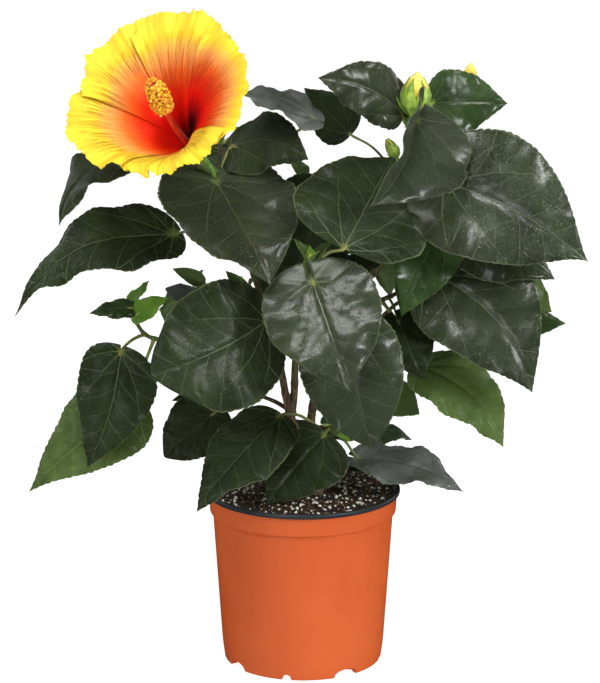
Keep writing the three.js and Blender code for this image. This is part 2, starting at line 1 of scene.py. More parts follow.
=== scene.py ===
"""A potted hibiscus shrub: a nursery pot with its soil, two woody stems with their boughs,
sprays of broad glossy leaves with their stalks and buds, and one open bloom, dressed over the
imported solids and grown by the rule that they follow.

Lengths in the tables are millimetres; meshes are handed over in metres.
"""

import logging
import math
from collections.abc import Callable, Iterable, Mapping, Sequence
from dataclasses import dataclass, field, replace
from enum import Enum

import bpy
import numpy as np
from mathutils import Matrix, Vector


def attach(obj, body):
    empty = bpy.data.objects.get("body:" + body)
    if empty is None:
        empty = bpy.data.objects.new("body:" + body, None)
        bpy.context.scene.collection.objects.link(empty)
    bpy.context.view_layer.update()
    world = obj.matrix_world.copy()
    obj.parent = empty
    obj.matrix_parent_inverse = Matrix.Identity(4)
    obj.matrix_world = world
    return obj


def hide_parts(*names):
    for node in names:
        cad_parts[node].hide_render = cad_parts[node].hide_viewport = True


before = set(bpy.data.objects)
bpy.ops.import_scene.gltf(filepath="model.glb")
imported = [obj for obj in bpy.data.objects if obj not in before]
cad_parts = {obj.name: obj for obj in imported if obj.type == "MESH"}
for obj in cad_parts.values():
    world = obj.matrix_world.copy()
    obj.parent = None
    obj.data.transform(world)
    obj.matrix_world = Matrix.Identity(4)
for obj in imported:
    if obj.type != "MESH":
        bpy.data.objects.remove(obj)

Point = tuple[float, float, float]
Array = np.ndarray
UP = np.array([0.0, 0.0, 1.0])
GOLDEN_ANGLE = 137.5
MM = 0.001
log = logging.getLogger("shrub")


# ---- Small geometry ----------------------------------------------------------------------------


def unit(vector: Array) -> Array:
    """The vector at length 1."""
    return vector / np.linalg.norm(vector)


def frame_at(direction: Sequence[float]) -> tuple[Array, Array, Array]:
    """Three square axes, the third along a direction and the first as level as can be."""
    third = unit(np.array(direction, float))
    first = unit(np.cross(UP, third)) if abs(third[2]) < 0.9999 else np.array([1.0, 0.0, 0.0])
    return first, np.cross(third, first), third


def smooth(value: Array | float, low: float, high: float) -> Array:
    """0 below low, 1 above high, and a soft step between."""
    t = np.clip((np.asarray(value, float) - low) / (high - low), 0, 1)
    return t * t * (3 - 2 * t)


class Seeded:
    """The same run of numbers between 0 and 1 for the same seed."""

    def __init__(self, seed: int) -> None:
        """Starts the run at a seed."""
        self.state = seed

    def __call__(self) -> float:
        """The next number."""
        self.state = (self.state * 1664525 + 1013904223) % 2**32
        return self.state / 2**32

    def between(self, low: float, high: float) -> float:
        """The next number, spread from low to high."""
        return low + (high - low) * self()


def lumps(points: Array, size: float, seed: int = 0) -> Array:
    """Smooth random heights from -1 to 1 over space.

    Args:
        points: the places, as an array whose last axis holds x, y and z.
        size: how far apart the lumps lie.
        seed: which of the fields of lumps it is.

    Returns:
        One height for each place.
    """
    cell = np.asarray(points, float) / size
    low = np.floor(cell).astype(np.int64)
    part = cell - low
    part = part * part * (3 - 2 * part)
    total = np.zeros(cell.shape[:-1])
    for corner in range(8):
        step = np.array([corner & 1, corner >> 1 & 1, corner >> 2 & 1])
        at = low + step
        mixed = (at[..., 0] * 73856093) ^ (at[..., 1] * 19349663) ^ (at[..., 2] * 83492791)
        mixed = (mixed ^ (seed * 2654435761)) & 0xFFFFFFFF
        mixed = ((mixed ^ (mixed >> 15)) * 2246822519) & 0xFFFFFFFF
        mixed = ((mixed ^ (mixed >> 13)) * 3266489917) & 0xFFFFFFFF
        share = np.prod(np.where(step, part, 1 - part), axis=-1)
        total += share * (mixed / 2**31 - 1)
    return total


class Curve:
    """A centripetal curve through points, the one that the solids' limbs follow."""

    def __init__(self, points: Iterable[Sequence[float]]) -> None:
        """Fits the curve and measures it."""
        self.points = [np.array(point, float) for point in points]
        steps = np.array([self._at(i / 200) for i in range(201)])
        self.lengths = np.concatenate(
            [[0], np.cumsum(np.linalg.norm(np.diff(steps, axis=0), axis=1))]
        )

    @property
    def length(self) -> float:
        """The whole length of the curve."""
        return float(self.lengths[-1])

    def _at(self, t: float) -> Array:
        """The point at a share of the run of given points."""
        points = self.points
        last = len(points) - 1
        place = last * t
        i = min(int(math.floor(place)), last - 1)
        weight = place - i
        x1, x2 = points[i], points[i + 1]
        x0 = points[i - 1] if i else 2 * points[0] - points[1]
        x3 = points[i + 2] if i + 2 <= last else 2 * points[last] - points[last - 1]
        d0, d1, d2 = (float(np.dot(b - a, b - a)) ** 0.25 for a, b in ((x0, x1), (x1, x2), (x2, x3)))
        d1 = d1 if d1 > 1e-4 else 1.0
        d0 = d0 if d0 > 1e-4 else d1
        d2 = d2 if d2 > 1e-4 else d1
        t1 = ((x1 - x0) / d0 - (x2 - x0) / (d0 + d1) + (x2 - x1) / d1) * d1
        t2 = ((x2 - x1) / d1 - (x3 - x1) / (d1 + d2) + (x3 - x2) / d2) * d1
        bent = -3 * x1 + 3 * x2 - 2 * t1 - t2
        return x1 + t1 * weight + bent * weight**2 + (2 * x1 - 2 * x2 + t1 + t2) * weight**3

    def at(self, share: float) -> Array:
        """The point at a share of the curve's length."""
        goal = share * self.length
        return self._at(float(np.interp(goal, self.lengths, np.arange(201) / 200)))

    def spaced(self, steps: int) -> Array:
        """Points that cut the curve into equal steps."""
        return np.array([self.at(i / steps) for i in range(steps + 1)])


# ---- Meshes ------------------------------------------------------------------------------------


class Surface:
    """Points and faces gathered for one piece, with the places that its finish is laid out by."""

    def __init__(self) -> None:
        """Starts with nothing."""
        self.points: list[Array] = []
        self.size = 0
        self.blocks: list[tuple[Array, int, int, Array | None, dict[str, Array]]] = []
        self.cells = 0

    def add(self, points: Array) -> Array:
        """Takes points in and gives their numbers, in the same layout."""
        flat = np.asarray(points, float).reshape(-1, 3)
        numbers = np.arange(self.size, self.size + len(flat))
        self.points.append(flat)
        self.size += len(flat)
        return numbers.reshape(np.asarray(points).shape[:-1])

    def cell(self) -> int:
        """A fresh cell of the piece's layout of finishes."""
        self.cells += 1
        return self.cells - 1

    def face(
        self,
        corners: Array,
        finish: int = 0,
        cell: int = 0,
        spread: Array | None = None,
        **places: Array,
    ) -> None:
        """Takes faces in.

        Args:
            corners: the numbers of each face's points, one row for each face.
            finish: which of the piece's finishes they have.
            cell: the cell that they are laid out in.
            spread: where each corner lies in that cell, from 0 to 1.
            places: named pairs of numbers for each corner, read by the finish.
        """
        self.blocks.append((np.asarray(corners), finish, cell, spread, places))

    def grid(
        self,
        numbers: Array,
        finish: int = 0,
        cell: int = 0,
        spread: Array | None = None,
        flip: bool = False,
        **places: Array,
    ) -> None:
        """Takes in the faces between rows and columns of points.

        Args:
            numbers: the points' numbers by row and column.
            finish: which of the piece's finishes the faces have.
            cell: the cell that they are laid out in.
            spread: where each point lies in that cell.
            flip: whether the faces look the other way.
            places: named pairs of numbers for each point.
        """

        def quads(values: Array) -> Array:
            """The four values round each face."""
            corners = [values[:-1, :-1], values[:-1, 1:], values[1:, 1:], values[1:, :-1]]
            corners = corners[::-1] if flip else corners
            made = np.stack(corners, axis=2)
            return made.reshape(-1, *made.shape[2:])

        self.face(
            quads(numbers),
            finish,
            cell,
            None if spread is None else quads(spread),
            **{name: quads(values) for name, values in places.items()},
        )

    def build(self, name: str, finishes: Sequence[bpy.types.Material], body: str = "root") -> bpy.types.Object:
        """Makes the piece and hangs it on its body.

        Args:
            name: the piece's name.
            finishes: its materials, in the order that the faces count them.
            body: the body that it rides on.

        Returns:
            The new object.
        """
        mesh = bpy.data.meshes.new(name)
        points = np.concatenate(self.points) * MM
        loops = np.concatenate([corners.reshape(-1) for corners, *_ in self.blocks])
        sizes = np.concatenate([np.full(len(c), c.shape[1]) for c, *_ in self.blocks])
        mesh.vertices.add(len(points))
        mesh.vertices.foreach_set("co", points.reshape(-1))
        mesh.loops.add(len(loops))
        mesh.loops.foreach_set("vertex_index", loops)
        mesh.polygons.add(len(sizes))
        mesh.polygons.foreach_set("loop_start", np.concatenate([[0], np.cumsum(sizes)[:-1]]))
        kinds = np.concatenate([np.full(len(c), f) for c, f, *_ in self.blocks])
        mesh.polygons.foreach_set("material_index", kinds)
        mesh.polygons.foreach_set("use_smooth", np.ones(len(sizes), bool))
        for layer in sorted({key for *_, places in self.blocks for key in places}):
            self._write(mesh, layer, [places.get(layer) for *_, places in self.blocks])
        if any(block[3] is not None for block in self.blocks):
            self._write(mesh, "OFBake", [self._laid(block) for block in self.blocks])
        for finish in finishes:
            mesh.materials.append(finish)
        mesh.update(calc_edges=True)
        mesh.validate()
        piece = bpy.data.objects.new(name, mesh)
        bpy.context.scene.collection.objects.link(piece)
        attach(piece, body)
        log.info("%s: %d points, %d faces", name, len(mesh.vertices), len(mesh.polygons))
        return piece

    def _laid(self, block: tuple[Array, int, int, Array | None, dict[str, Array]]) -> Array | None:
        """The layout of a block of faces, within its own cell of the sheet."""
        _, _, cell, spread, _ = block
        if spread is None:
            return None
        side = max(1, math.ceil(math.sqrt(self.cells)))
        corner = np.array([cell % side, cell // side])
        return (corner + 0.04 + 0.92 * np.clip(spread, 0, 1)) / side

    def _write(self, mesh: bpy.types.Mesh, name: str, values: Sequence[Array | None]) -> None:
        """Writes one pair of numbers for each corner of each face."""
        filled = [
            np.zeros((corners.size, 2)) if value is None else np.asarray(value).reshape(-1, 2)
            for value, (corners, *_) in zip(values, self.blocks)
        ]
        mesh.uv_layers.new(name=name).data.foreach_set("uv", np.concatenate(filled).reshape(-1))


def pairs(first: Array | float, second: Array | float) -> Array:
    """Two fields of numbers side by side."""
    return np.stack(np.broadcast_arrays(np.asarray(first, float), np.asarray(second, float)), axis=-1)


def tube(
    surface: Surface,
    path: Array,
    radii: Array,
    finish: int = 0,
    age: tuple[float, float] = (0, 1),
    ends: bool = True,
) -> None:
    """A round limb with a soft cap at each end.

    Args:
        surface: the piece that it is added to.
        path: its centre line, one point for each ring.
        radii: its radius, as rows of one number or of one for each side.
        finish: which of the piece's finishes it has.
        age: what the finish reads along its length, from foot to tip.
        ends: whether the caps are put on.
    """
    rings, sides = radii.shape if radii.ndim == 2 and radii.shape[1] > 1 else (len(path), 10)
    radii = np.broadcast_to(radii.reshape(rings, -1), (rings, sides))
    tangents = np.gradient(path, axis=0)
    tangents /= np.linalg.norm(tangents, axis=1)[:, None]
    first = frame_at(tangents[0])[0]
    ring_points = []
    angles = np.arange(sides + 1) / sides * 2 * math.pi
    for centre, tangent, radius in zip(path, tangents, radii):
        first = unit(first - tangent * np.dot(first, tangent))
        second = np.cross(tangent, first)
        spokes = np.outer(np.cos(angles[:-1]), first) + np.outer(np.sin(angles[:-1]), second)
        ring_points.append(centre + spokes * radius[:, None])
    numbers = surface.add(np.array(ring_points))
    closed = np.concatenate([numbers, numbers[:, :1]], axis=1)
    run = np.concatenate([[0], np.cumsum(np.linalg.norm(np.diff(path, axis=0), axis=1))])
    share = run / run[-1]
    cell = surface.cell()
    around, along = np.meshgrid(angles / (2 * math.pi), share)
    wood = pairs(around, age[0] + (age[1] - age[0]) * along)
    surface.grid(closed, finish, cell, pairs(around, along), wood=wood)
    if not ends:
        return
    for end, sign in ((0, -1), (-1, 1)):
        radius = float(radii[end].mean())
        centre = path[end] + sign * tangents[end] * radius * 0.6
        mid = surface.add(centre + (np.array(ring_points[end]) - path[end]) * 0.62 - sign * tangents[end] * radius * 0.17)
        tip = surface.add(centre[None])[0]
        rows = np.stack([numbers[end], mid])
        rows = np.concatenate([rows, rows[:, :1]], axis=1)
        u, v = np.meshgrid(angles / (2 * math.pi), [share[end], share[end]])
        both = pairs(u, age[0] + (age[1] - age[0]) * v)
        surface.grid(rows, finish, cell, pairs(u, v), flip=sign < 0, wood=both)
        mid = np.append(mid, mid[0])
        fan = np.stack([mid[:-1], mid[1:], np.full(sides, tip)], axis=1)
        fan = fan if sign > 0 else fan[:, ::-1]
        flat = np.full((sides, 3, 2), [0.5, share[end]])
        surface.face(fan, finish, cell, flat, wood=np.full((sides, 3, 2), [0.5, age[end]]))


def turned(
    surface: Surface,
    profile: Array,
    sides: int,
    finishes: Sequence[int] | int = 0,
    axes: tuple[Array, Array, Array] | None = None,
    origin: Array | None = None,
) -> None:
    """A solid of revolution whose profile starts and ends on the axis.

    Args:
        surface: the piece that it is added to.
        profile: pairs of radius and height.
        sides: how many flats go round it.
        finishes: the finish of each band between two points of the profile, or of all.
        axes: the axes that it is turned about.
        origin: where its axis starts.
    """
    axes = axes or (np.array([1.0, 0, 0]), np.array([0, 1.0, 0]), UP)
    origin = np.zeros(3) if origin is None else origin
    angles = np.arange(sides) / sides * 2 * math.pi
    spokes = np.outer(np.cos(angles), axes[0]) + np.outer(np.sin(angles), axes[1])
    cell = surface.cell()
    rows = []
    for radius, height in profile:
        ring = origin + spokes * radius + axes[2] * height
        rows.append(surface.add(ring[:1] if radius < 1e-9 else ring))
    shares = np.linspace(0, 1, len(profile))
    u = np.arange(sides + 1) / sides
    for i in range(len(profile) - 1):
        a, b = rows[i], rows[i + 1]
        finish = finishes if isinstance(finishes, int) else finishes[i]
        if len(a) > 1 and len(b) > 1:
            both = np.stack([np.append(a, a[0]), np.append(b, b[0])])
            around, along = np.meshgrid(u, shares[i : i + 2])
            surface.grid(both, finish, cell, pairs(around, along), wood=pairs(around, along))
            continue
        ring, tip = (b, a[0]) if len(a) == 1 else (a, b[0])
        ring = np.append(ring, ring[0])
        fan = np.stack([ring[1:], ring[:-1], np.full(sides, tip)], axis=1)
        fan = fan if len(a) == 1 else fan[:, ::-1]
        place = np.stack([pairs(u[1:], shares[i]), pairs(u[:-1], shares[i]), pairs(u[:-1], shares[i + 1])], axis=1)
        surface.face(fan, finish, cell, place, wood=place)


# ---- Shader maths ------------------------------------------------------------------------------


def linear(code: str) -> tuple[float, float, float, float]:
    """A colour of six hex digits as the values that shaders take."""
    parts = [int(code[i : i + 2], 16) / 255 for i in (0, 2, 4)]
    red, green, blue = (c / 12.92 if c <= 0.04045 else ((c + 0.055) / 1.055) ** 2.4 for c in parts)
    return red, green, blue, 1.0


class Value:
    """A number inside a material, on which Python's operators put Math nodes."""

    def __init__(self, bench: "Bench", socket: bpy.types.NodeSocket) -> None:
        """Wraps a socket of a bench's tree."""
        self.bench = bench
        self.socket = socket

    def math(self, operation: str, *others: "Value | float") -> "Value":
        """The result of a Math node on this number and others."""
        values = dict(enumerate((self, *others)))
        return self.bench.value("ShaderNodeMath", {"operation": operation}, values)

    def __add__(self, other: "Value | float") -> "Value":
        """self + other"""
        return self.math("ADD", other)

    __radd__ = __add__

    def __sub__(self, other: "Value | float") -> "Value":
        """self - other"""
        return self.math("SUBTRACT", other)

    def __rsub__(self, other: float) -> "Value":
        """other - self"""
        return self.bench.value("ShaderNodeMath", {"operation": "SUBTRACT"}, {0: other, 1: self})

    def __mul__(self, other: "Value | float") -> "Value":
        """self * other"""
        return self.math("MULTIPLY", other)

    __rmul__ = __mul__

    def __truediv__(self, other: "Value | float") -> "Value":
        """self / other"""
        return self.math("DIVIDE", other)

    def __pow__(self, other: "Value | float") -> "Value":
        """self ** other"""
        return self.math("POWER", other)

    def __abs__(self) -> "Value":
        """abs(self)"""
        return self.math("ABSOLUTE")

    def __gt__(self, other: "Value | float") -> "Value":
        """1 where this is above the other, else 0."""
        return self.math("GREATER_THAN", other)

    def over(self, other: "Value | float") -> "Value":
        """The larger of the two."""
        return self.math("MAXIMUM", other)

    def fades(self, near: "Value | float", far: "Value | float", full: float = 1, none: float = 0) -> "Value":
        """full up to near, none past far, and a soft step between."""
        return self.bench.value(
            "ShaderNodeMapRange",
            {"interpolation_type": "SMOOTHSTEP"},
            {"Value": self, "From Min": near, "From Max": far, "To Min": full, "To Max": none},
        )


class Bench:
    """A material in the making: its tree, its shader, and the one way that nodes come into it."""

    def __init__(self, name: str, **constants: object) -> None:
        """Starts a material.

        Args:
            name: its name.
            constants: the shader's settings that are the same all over, with _ for a space.
        """
        self.material = bpy.data.materials.new(name)
        self.material.use_nodes = True
        self.tree = self.material.node_tree
        self.tree.nodes.clear()
        values = {key.replace("_", " ").title().replace("Ior", "IOR"): v for key, v in constants.items()}
        self.shader = self.node("ShaderNodeBsdfPrincipled", {}, values)
        out = self.node("ShaderNodeOutputMaterial")
        self.tree.links.new(self.shader.outputs[0], out.inputs[0])

    def node(
        self,
        kind: str,
        settings: Mapping[str, object] | None = None,
        values: Mapping[str | int, object] | None = None,
    ) -> bpy.types.Node:
        """Puts a node in.

        Args:
            kind: the node's type.
            settings: its own settings, set first; stops are a ramp's places and colours.
            values: what its sockets hold, or what is linked to them.

        Returns:
            The new node.
        """
        made = self.tree.nodes.new(kind)
        for key, setting in (settings or {}).items():
            if key != "stops":
                setattr(made, key, setting)
                continue
            elements = made.color_ramp.elements
            while len(elements) < len(setting):
                elements.new(0.5)
            for element, (place, colour) in zip(elements, setting):
                element.position, element.color = place, colour
        for key, value in (values or {}).items():
            self.feed(made, key, value)
        return made

    def feed(self, node: bpy.types.Node, key: str | int, value: object) -> None:
        """Gives a socket of a node its value or its link."""
        socket = node.inputs[key]
        if isinstance(value, Value):
            value = value.socket
        if isinstance(value, bpy.types.NodeSocket):
            self.tree.links.new(value, socket)
        else:
            socket.default_value = value

    def value(
        self,
        kind: str,
        settings: Mapping[str, object] | None = None,
        values: Mapping[str | int, object] | None = None,
        out: str | int = 0,
    ) -> Value:
        """Puts a node in and gives one of its outputs."""
        return Value(self, self.node(kind, settings, values).outputs[out])

    def place(self, name: str) -> tuple[Value, Value, Value]:
        """A named pair of numbers of the mesh: the pair, its first and its second."""
        pair = self.value("ShaderNodeUVMap", {"uv_map": name})
        parts = self.node("ShaderNodeSeparateXYZ", {}, {0: pair})
        return pair, Value(self, parts.outputs[0]), Value(self, parts.outputs[1])

    def spot(self, stretch: Point = (1, 1, 1)) -> Value:
        """The place in space on the object, stretched."""
        where = self.value("ShaderNodeTexCoord", {}, {}, "Object")
        return self.value("ShaderNodeVectorMath", {"operation": "MULTIPLY"}, {0: where, 1: stretch})

    def noise(self, where: Value, scale: float, detail: float = 3, rough: float = 0.5) -> Value:
        """Cloudy noise from 0 to 1."""
        values = {"Vector": where, "Scale": scale, "Detail": detail, "Roughness": rough}
        return self.value("ShaderNodeTexNoise", {}, values)

    def mix(self, share: Value | float, first: object, second: object, how: str = "MIX") -> Value:
        """A colour between two, by share."""
        settings = {"data_type": "RGBA", "blend_type": how}
        return self.value("ShaderNodeMix", settings, {0: share, 6: first, 7: second}, 2)

    def ramp(self, value: Value, stops: Sequence[tuple[float, str]]) -> Value:
        """The colour that a run of stops has at a value."""
        coloured = [(place, linear(code)) for place, code in stops]
        return self.value("ShaderNodeValToRGB", {"stops": coloured}, {0: value})

    def finish(self, colour: Value, roughness: Value | None = None, height: Value | None = None, relief: float = 0.3) -> bpy.types.Material:
        """Ties the shader up.

        Args:
            colour: the base colour.
            roughness: the roughness, where it varies.
            height: the height of the fine relief.
            relief: how high that relief is, in millimetres.

        Returns:
            The material.
        """
        self.feed(self.shader, "Base Color", colour)
        if roughness:
            self.feed(self.shader, "Roughness", roughness)
        if height:
            bump = self.value("ShaderNodeBump", {}, {"Strength": 1.0, "Distance": relief * MM, "Height": height})
            self.feed(self.shader, "Normal", bump)
        return self.material


# ---- Leaves ------------------------------------------------------------------------------------

FIRST_RAY, SECOND_RAY, THIRD_RAY = 0.64, 1.28, 2.0  # radians from the midrib, at the stalk
RAY_BEND = 0.42  # how much the rays turn forward over a leaf's length
RIB_STEP = 0.17  # from one side rib to the next, in leaf lengths
RIB_LEAN = 0.95


class Look(Enum):
    """How one leaf is coloured: its upper side's finish, as the blades' finishes are counted."""

    DARK = 0
    DEEP = 1
    GLOSS = 2
    FRESH = 3
    YOUNG = 4
    # the grey look: its grey colour is painted sheen, the lights' glossy reflection painted into the leaf's colour
    PAINTED_SHEEN = 5


@dataclass(frozen=True)
class BladeFinish:
    """The living skin of a leaf: ground colours, rays and ribs, net, specks, and gloss."""

    name: str
    ground: str
    shade: str
    rib: str
    edge: str
    gloss: float = 0.3
    rib_share: float = 0.62
    net_share: float = 0.16
    speck: float = 0.25
    coat: float = 0.12
    shine: float = 0.3
    sunk: bool = True  # ribs lie in grooves on the upper side and stand proud on the lower one

    def material(self) -> bpy.types.Material:
        """Makes the material."""
        bench = Bench(self.name, coat_weight=self.coat, coat_roughness=0.27, specular_ior_level=self.shine)
        pair, x, y = bench.place("blade")
        x = x + 0.022 * (bench.noise(pair, 6.0, 2) - 0.5)
        y = y + 0.05 * (bench.noise(pair, 4.4, 2) - 0.5)
        _, across, _ = bench.place("edge")
        side = abs(x)
        reach = (x * x + y * y).math("SQRT")
        turn = side.math("ARCTAN2", y)
        bend = 1 - RAY_BEND * reach
        first, second = FIRST_RAY * bend, SECOND_RAY * bend
        inner, outer = turn > first, turn > second
        start = first * inner + (second - first) * outer
        away = turn - start
        run, off = reach * away.math("COSINE"), reach * away.math("SINE")
        count = (run - RIB_LEAN * off + 1.1 * off * off) / RIB_STEP
        count = count + 0.25 * x.math("SIGN") + 0.37 * inner
        gap = abs(count.math("FRACT") - 0.5) * RIB_STEP
        side_rib = gap.fades(0.0012, 0.0042) * off.fades(0.0, 0.4, 1, 0.3)
        width = 0.0066 * (1.02 - 0.8 * reach)
        ray = abs(side).fades(width * 0.3, width)
        for angle, last in ((first, 0.8), (second, 0.55), (THIRD_RAY, 0.3)):
            near = reach * abs(turn - angle)
            slim = width * 0.75
            ray = ray.over(near.fades(slim * 0.3, slim) * reach.fades(last * 0.6, last))
        net = bench.value(
            "ShaderNodeTexVoronoi",
            {"feature": "DISTANCE_TO_EDGE"},
            {"Vector": pair, "Scale": 34.0},
        ).fades(0.0, 0.09)
        fine = bench.value(
            "ShaderNodeTexVoronoi",
            {"feature": "DISTANCE_TO_EDGE"},
            {"Vector": pair, "Scale": 95.0},
        ).fades(0.0, 0.16)
        cloud = bench.noise(bench.spot(), 34.0, 3, 0.6)
        grain = bench.noise(pair, 120.0, 2, 0.6)
        dots = bench.value("ShaderNodeTexVoronoi", {"feature": "F1"}, {"Vector": pair, "Scale": 60.0})
        dots = dots.fades(0.08, 0.14) * (bench.noise(pair, 9.0, 1) > 0.56)
        ribs = ray.over(side_rib * 0.72)
        colour = bench.mix(cloud.fades(0.35, 0.65, 0, 1), linear(self.ground), linear(self.shade))
        colour = bench.mix((net * 0.7).over(fine * 0.4) * self.net_share, colour, linear(self.rib))
        colour = bench.mix(dots * self.speck, colour, linear("b9bfa6"))
        colour = bench.mix(ribs * self.rib_share, colour, linear(self.rib))
        knot = reach.fades(0.01, 0.05) * 0.4
        colour = bench.mix(knot, colour, linear("93a044"))
        rim = abs(across).fades(0.968, 1.0, 0, 0.8)
        colour = bench.mix(rim, colour, linear(self.edge))
        rough = self.gloss - 0.05 + 0.14 * cloud + 0.06 * grain + 0.08 * ribs
        height = ribs * 0.9 + net * 0.55 + fine * 0.3
        height = (1 - height if self.sunk else height) + 0.14 * grain
        return bench.finish(colour, rough, height, 0.56)


UPPER = (
    BladeFinish("leaf_dark", "15210a", "223111", "7d8b64", "717f56", coat=0.08, speck=0.08),
    BladeFinish("leaf_deep", "18230e", "283617", "7d8a68", "707d58", 0.27, coat=0.4, speck=0.08, shine=0.65),
    BladeFinish("leaf_gloss", "1c350d", "2e5015", "829856", "72884a", 0.24, coat=0.5, speck=0.1, shine=0.6),
    BladeFinish("leaf_fresh", "425a28", "566e32", "96a866", "86985a", gloss=0.36, speck=0.15),
    BladeFinish("leaf_young", "5c9a1e", "86b83a", "b4cf6c", "a8c25c", gloss=0.34, speck=0.0),
    # leaf_painted_sheen: its grey ground and shade colours are painted sheen, a glossy reflection painted into the
    # colour of a green leaf
    BladeFinish("leaf_painted_sheen", "2b302a", "5d6260", "7d8672", "7c8c5c", 0.33, 0.5, 0.4, speck=0.2, coat=0.3, shine=0.6),
)
LOWER = (
    BladeFinish("leaf_under", "53683f", "62784c", "8b9a68", "56683c", 0.52, 0.7, 0.3, 0.0, 0.0, False),
    BladeFinish("leaf_under_pale", "6f8a4c", "7d985a", "a2b47c", "7b8f4c", 0.5, 0.7, 0.3, 0.0, 0.0, False),
)


@dataclass(frozen=True)
class Leaf:
    """One blade by the ends of its chord and the way that its upper side looks.

    wide is its width for each unit of length, arch bows it up, bend bows it sideways, cup folds
    its halves up, twist turns its tip, point draws the tip out, and lobe deepens its heart.
    ripple is how far its margin waves, in millimetres, fold lifts its left (below 0) or right
    (above 0) half only, and tail narrows its last bit, or fills it out when it is below 0.
    """

    base: Point
    tip: Point
    face: Point
    wide: float = 0.8
    arch: float = 0.06
    bend: float = 0.0
    cup: float = 0.0
    twist: float = 0.0
    point: float = 0.0
    lobe: float = 0.19
    ripple: float = 3.0
    fold: float = 0.0
    tail: float = 0.5
    look: Look = Look.DARK

    def axes(self) -> tuple[float, Array, Array, Array]:
        """Its length, and the directions along its chord, to its upper side and to its side."""
        chord = np.array(self.tip, float) - np.array(self.base, float)
        length = float(np.linalg.norm(chord))
        forward = chord / length
        face = np.array(self.face, float)
        upper = unit(face - forward * np.dot(face, forward))
        return length, forward, upper, np.cross(upper, forward)

    def flat(self, along: Array, across: Array) -> tuple[Array, Array]:
        """Where a place of the blade lies before it is bent: sideways and forward, in lengths."""
        along = np.asarray(along, float)
        round_ = np.abs(np.sin(math.pi * along**0.56)) ** 0.67
        half = round_ * (1 - 0.3 * along**4) * (1 - self.point * along**1.5)
        back = self.lobe * np.abs(across) ** 1.5 * (1 - along) ** 4
        return 0.5 * self.wide * half * across, along - back

    def at(self, along: Array | float, across: Array | float, lift: Array | float = 0) -> Array:
        """A place of the blade in space, lifted off its middle skin."""
        length, forward, upper, side = self.axes()
        along, across = np.broadcast_arrays(np.asarray(along, float), np.asarray(across, float))
        sideways, ahead = self.flat(along, across)
        sideways = sideways * length
        middle = 4 * along * (1 - along) * length
        roll = self.cup * np.abs(sideways) + self.twist * sideways * (along - 0.3)
        raised = self.arch * middle + roll + lift
        return (
            np.array(self.base, float)
            + np.multiply.outer(ahead * length, forward)
            + np.multiply.outer(sideways + self.bend * middle, side)
            + np.multiply.outer(raised, upper)
        )

    def samples(self) -> Array:
        """Points spread over the blade, which stand for it when room is measured."""
        rows = [self.at(0.0, 0.0)[None]]
        rows += [self.at(a, np.array([-1, -0.5, 0, 0.5, 1])) for a in (0.2, 0.4, 0.6, 0.8)]
        return np.concatenate([*rows, self.at(1.0, 0.0)[None]])


